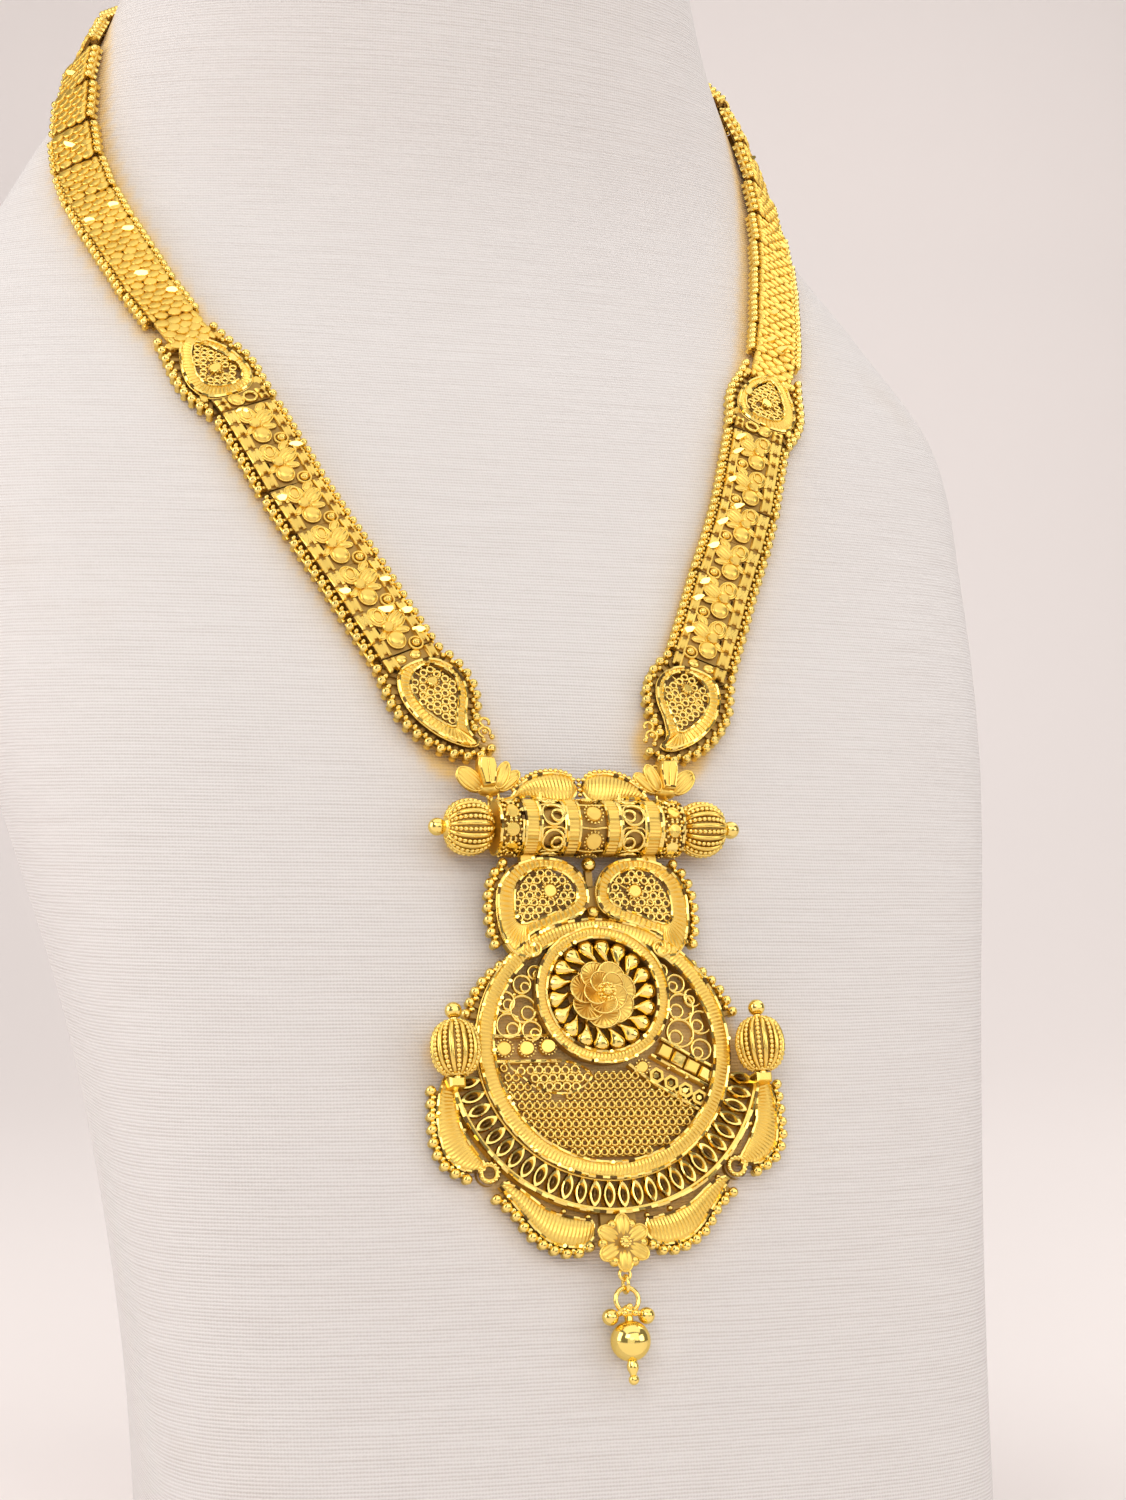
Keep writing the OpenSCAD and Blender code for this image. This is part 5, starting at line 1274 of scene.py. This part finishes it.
# Two ridged leaves over the tube
def crest():
    g, half, leg = Heap(), Heap(), Heap()
    top = curve([[-12.3, 42.6], [-10.6, 45.2], [-7.6, 47.0], [-4.2, 47.5], [-1.6, 46.9], [-0.5, 45.2]], 12)
    low = curve([[-12.2, 42.3], [-10.4, 43.1], [-7.8, 43.1], [-4.4, 42.3], [-1.8, 42.6], [-0.5, 44.2]], 12)
    half.ribbon(top, low, RIDGE, -0.92, 0.15, 0.5, -1.5, False, 8, MATT, slant=0.4)
    half.cut(lifted(np.concatenate([top, low[::-1]]), -0.74), 0.25, True, 1.0, 0.8)
    beads = curve([[-11.6, 44.4], [-10.2, 46.0], [-7.6, 47.5], [-4.4, 47.95], [-2, 47.5], [-0.9, 46.4]], 8)
    half.balls(lifted(resample(beads, n=15), -0.85), 0.45, 8, 6)
    leg.lathe([0, 0, 0], [[0.5, 40.6], [0.5, 44]], 10)
    half.join(leg, along_y(-7, 0, -0.9))
    half.plate(np.concatenate([top[::4], [[-0.2, 45], [-0.2, 44]], low[::-4]]), [], -1.5, -1.1)
    g.both_sides(half)
    g.balls([[0, 43.6, -0.6], [0, 44.5, -0.6], [0, 45.4, -0.6], [0, 46.3, -0.8]], 0.42, 10, 6)
    pendant_piece("crest", g)


# Tulips between the band's ends and the tube
def connectors():
    g, eye = Heap(), Heap()
    z = -1.6
    # A broad leaf, a folded one in the middle and two narrow ones, in one cup
    for x, y, turn, rx, ry, up, lines in ((-3.9, 46.3, 47, 1.55, 2.6, 0.4, 5), (2.9, 46.1, -48, 1.05, 2.4, 0.4, 3),
                                          (1.6, 46.9, -24, 1.1, 2.5, 0.9, 3)):
        petal(g, (x, y), turn, rx, ry, z + up, 0.6, lines, 0.12, wall=1.0, rim=0.22)
    fold = np.array([[-1.1, -2.4], [0.9, -2.4], [1.55, 1.1], [1.25, 2.5], [-1.3, 2.7], [-1.65, 1.3]]) @ turned(4)
    g.facet(fold, (-1.0, 47.2), z - 0.2, z + 2.3, 0.45, (0.1, 0.1), MATT)
    g.cut(lifted(fold * 0.86 + [-1.0, 47.2], z + 2.3), 0.16, True)
    g.wire([[-0.9, 45.2, z + 2.25], [-1.0, 47, z + 2.42], [-1.1, 49.2, z + 2.45]], 0.14, 5)
    g.blob(oval(24, 2.2, 1.5), (-0.6, 44.9), 1.2, z - 0.1, 0.3, 5, MATT)
    g.torus([0, 43.6, z], 0.95, 0.3, 0.3, 18)
    g.wire([[0, 44.4, z], [-0.3, 45.2, z + 0.1], [-0.6, 46, z + 0.3]], 0.5, 8, BRIGHT)
    eye.torus([2, -14.7, 1.7], 0.95, 0.3, 0.3, 18)
    eye.wire([[2, -15.6, 1.7], [1.5, -16.3, 2.3], [0.9, -17, 2.9]], 0.45, 8, BRIGHT)
    for side in SIDES:
        pendant_piece(side + "_flower_connector", g, moved(-15, 0), mirror=side == "right",
                      more=[(eye, between(0, LOWER_END))])


def bottom_flower():
    g = Heap()
    b = RING + 0.12
    # The seat under the petals is in the darker gold: painted shade
    g.lathe([0, 0, 0], [[3, b], [3, b + 0.6]], 24, PAINTED_SHADE)
    for i in range(6):
        petal(g, 2.75 * direction(i * 60 + 30), i * 60 - 60, 1.3, 1.8, b + 0.35, 0.45, 3, 0.14, rim=0.2)
    for i in range(6):
        g.balls([*(3.3 * direction(i * 60)), b - 0.1], 0.9, 14, 9, SATIN)
    g.balls([0, 0, b + 0.9], 0.9, 12, 8, SATIN)
    g.balls(circle(0.75, 10, b + 1.35), 0.28, 6, 4)
    g.lathe([0, 0, 0], [[0.8, BACK], [0.8, b]])
    g.torus([0, -4.9, DROP_Z], 0.9, 0.3, 0.3, 20, 8, BRIGHT)
    g.wire([[0, -3, b + 0.3], [0, -3.6, b + 0.1], [0, -4.1, DROP_Z]], 0.35, 8, BRIGHT)
    pendant_piece("bottom_flower", g, moved(0, BOTTOM_Y))


# The jump ring, and the drop about its own height: ring, two small balls, the large ball and its tip
def drop():
    ring, d = Heap(), Heap()
    ring.side_ring((0, BOTTOM_Y - 6.45, DROP_Z), 1.35, 0.3, 24, 8, BRIGHT)
    pendant_piece("jump_ring", ring)
    d.torus([0, -40.8, 0], 1.9, 0.4, 0.4, 30, 9, BRIGHT)
    for x in (-3, 3):
        d.balls([x, -43.4, 0], 1.35, 20, 14)
        d.wire([[0, -42.4, 0], [x / 2, -42.9, 0.1], [x, -43.4, 0]], 0.5, 8, BRIGHT)
    d.balls([0, -42.6, 0], 1.1, 16, 10)
    d.balls([0, -47.2, 0], 3.2, 40, 26)
    d.balls([[-0.9, -43.0, 0.9], [0.9, -43.0, 0.9], [0, -42.0, 1.0]], 0.55, 12, 8)
    d.wire([[0, -42.4, 0], [0, -43.6, 0], [0, -44.6, 0]], 0.7, 10, BRIGHT)
    d.wire([[0, y, 0] for y in (-50.2, -51, -51.6, -52.2, -52.6)], [0.7, 0.95, 0.9, 0.6, 0.45], 12, BRIGHT)
    d.balls([0, -53.2, 0], 0.85, 14, 10)
    pendant_piece("drop", d, moved(0, 0, DROP_Z))


for build in (bust, band, medallion, rosette, paisley_plate, barrel, crest, connectors, bottom_flower, drop):
    build()
chain_gold = gold("gold_chain", (1.0, 0.72, 0.22), 0.2)
for name in ("back_chain", "clasp"):
    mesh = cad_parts[name].data
    mesh.materials.clear()
    mesh.materials.append(chain_gold)
    for p in mesh.polygons:
        p.use_smooth = True


# Floor and backdrop in one sweep
def stage():
    y = [-1.2, -0.2, 0.6, 1.0, 1.25, 1.4, 1.48, 1.5, 1.5]
    z = [0, 0, 0, 0.03, 0.13, 0.3, 0.55, 0.9, 2.6]
    path = curve(np.column_stack([y, z]), 6)
    x = np.linspace(-2.4, 2.4, 5)
    n = len(x)
    faces = [(r * n + c, r * n + c + 1, (r + 1) * n + c + 1, (r + 1) * n + c)
             for r in range(len(path) - 1) for c in range(n - 1)]
    me = bpy.data.meshes.new("floor")
    me.from_pydata([(a, *b) for b in path for a in x], [], faces)
    for p in me.polygons:
        p.use_smooth = True
    me.materials.append(new_material("pale_floor", Base_Color=(0.88, 0.82, 0.8, 1), Roughness=0.85)[0])
    link("floor", me)


# A square or level lamp, turned to its target
def lamp(name, place, target, size, power, colour, size_y=None):
    d = bpy.data.lights.new(name, "AREA")
    d.energy, d.color, d.size = power, colour, size
    if size_y:
        d.shape, d.size_y = "RECTANGLE", size_y
    o = link(name, d)
    o.location = place
    o.rotation_euler = (Vector(target) - Vector(place)).to_track_quat("-Z", "Y").to_euler()


stage()
AIM, WHITE, WARM, FLOOR_WHITE = (0, -0.08, 0.14), (1.0, 0.98, 0.96), (1.0, 0.97, 0.94), (1.0, 0.98, 0.97)
lamp("front", (0.15, -1.2, 0.85), AIM, 1.4, 5.0, WHITE, 0.9)
lamp("low", (-0.35, -1.3, 0.3), AIM, 0.9, 1.8, WARM)
lamp("key", (-0.75, -1.05, 0.95), AIM, 0.6, 4.1, WARM)
lamp("fill", (0.95, -0.8, 0.45), AIM, 0.6, 3.2, WARM)
lamp("top", (0.1, -0.12, 1.2), (0.1, -0.08, 0.14), 1.8, 7.2, WHITE, 1.2)
lamp("right floor", (0.9, 0.55, 1.05), (0.75, 0.8, 0), 0.8, 4.9, FLOOR_WHITE)
lamp("left floor", (-0.9, 0.1, 0.4), (-0.2, 0.25, 0.0), 0.7, 4.6, FLOOR_WHITE)
world = bpy.data.worlds.new("studio")
bpy.context.scene.world = world
world.use_nodes = True
world.node_tree.nodes["Background"].inputs["Color"].default_value = (1.0, 0.955, 0.925, 1)
world.node_tree.nodes["Background"].inputs["Strength"].default_value = 0.24
bpy.context.scene.view_settings.view_transform = "Standard"

# The camera: focal length in pixels of a picture 1126 wide, and its three directions
FOCAL_PX, WIDTH_PX, SENSOR = 2694, 1126, 36
cam = bpy.data.cameras.new("camera")
cam.sensor_fit, cam.sensor_width, cam.lens = "HORIZONTAL", SENSOR, SENSOR * FOCAL_PX / WIDTH_PX
cam.clip_start, cam.clip_end = 0.02, 10
eye = link("camera", cam)
right, up, forward = (Vector(v) for v in ((0.95221, -0.30525, 0.01070), (-0.02060, -0.02923, 0.99936),
                                          (0.30474, 0.95182, 0.03412)))
place = Vector(EYE_AT - [0, CENTRE_Y, 0]) * MM
eye.matrix_world = Matrix.Translation(place) @ Matrix((right, up, -forward)).transposed().to_4x4()
bpy.context.scene.camera = eye
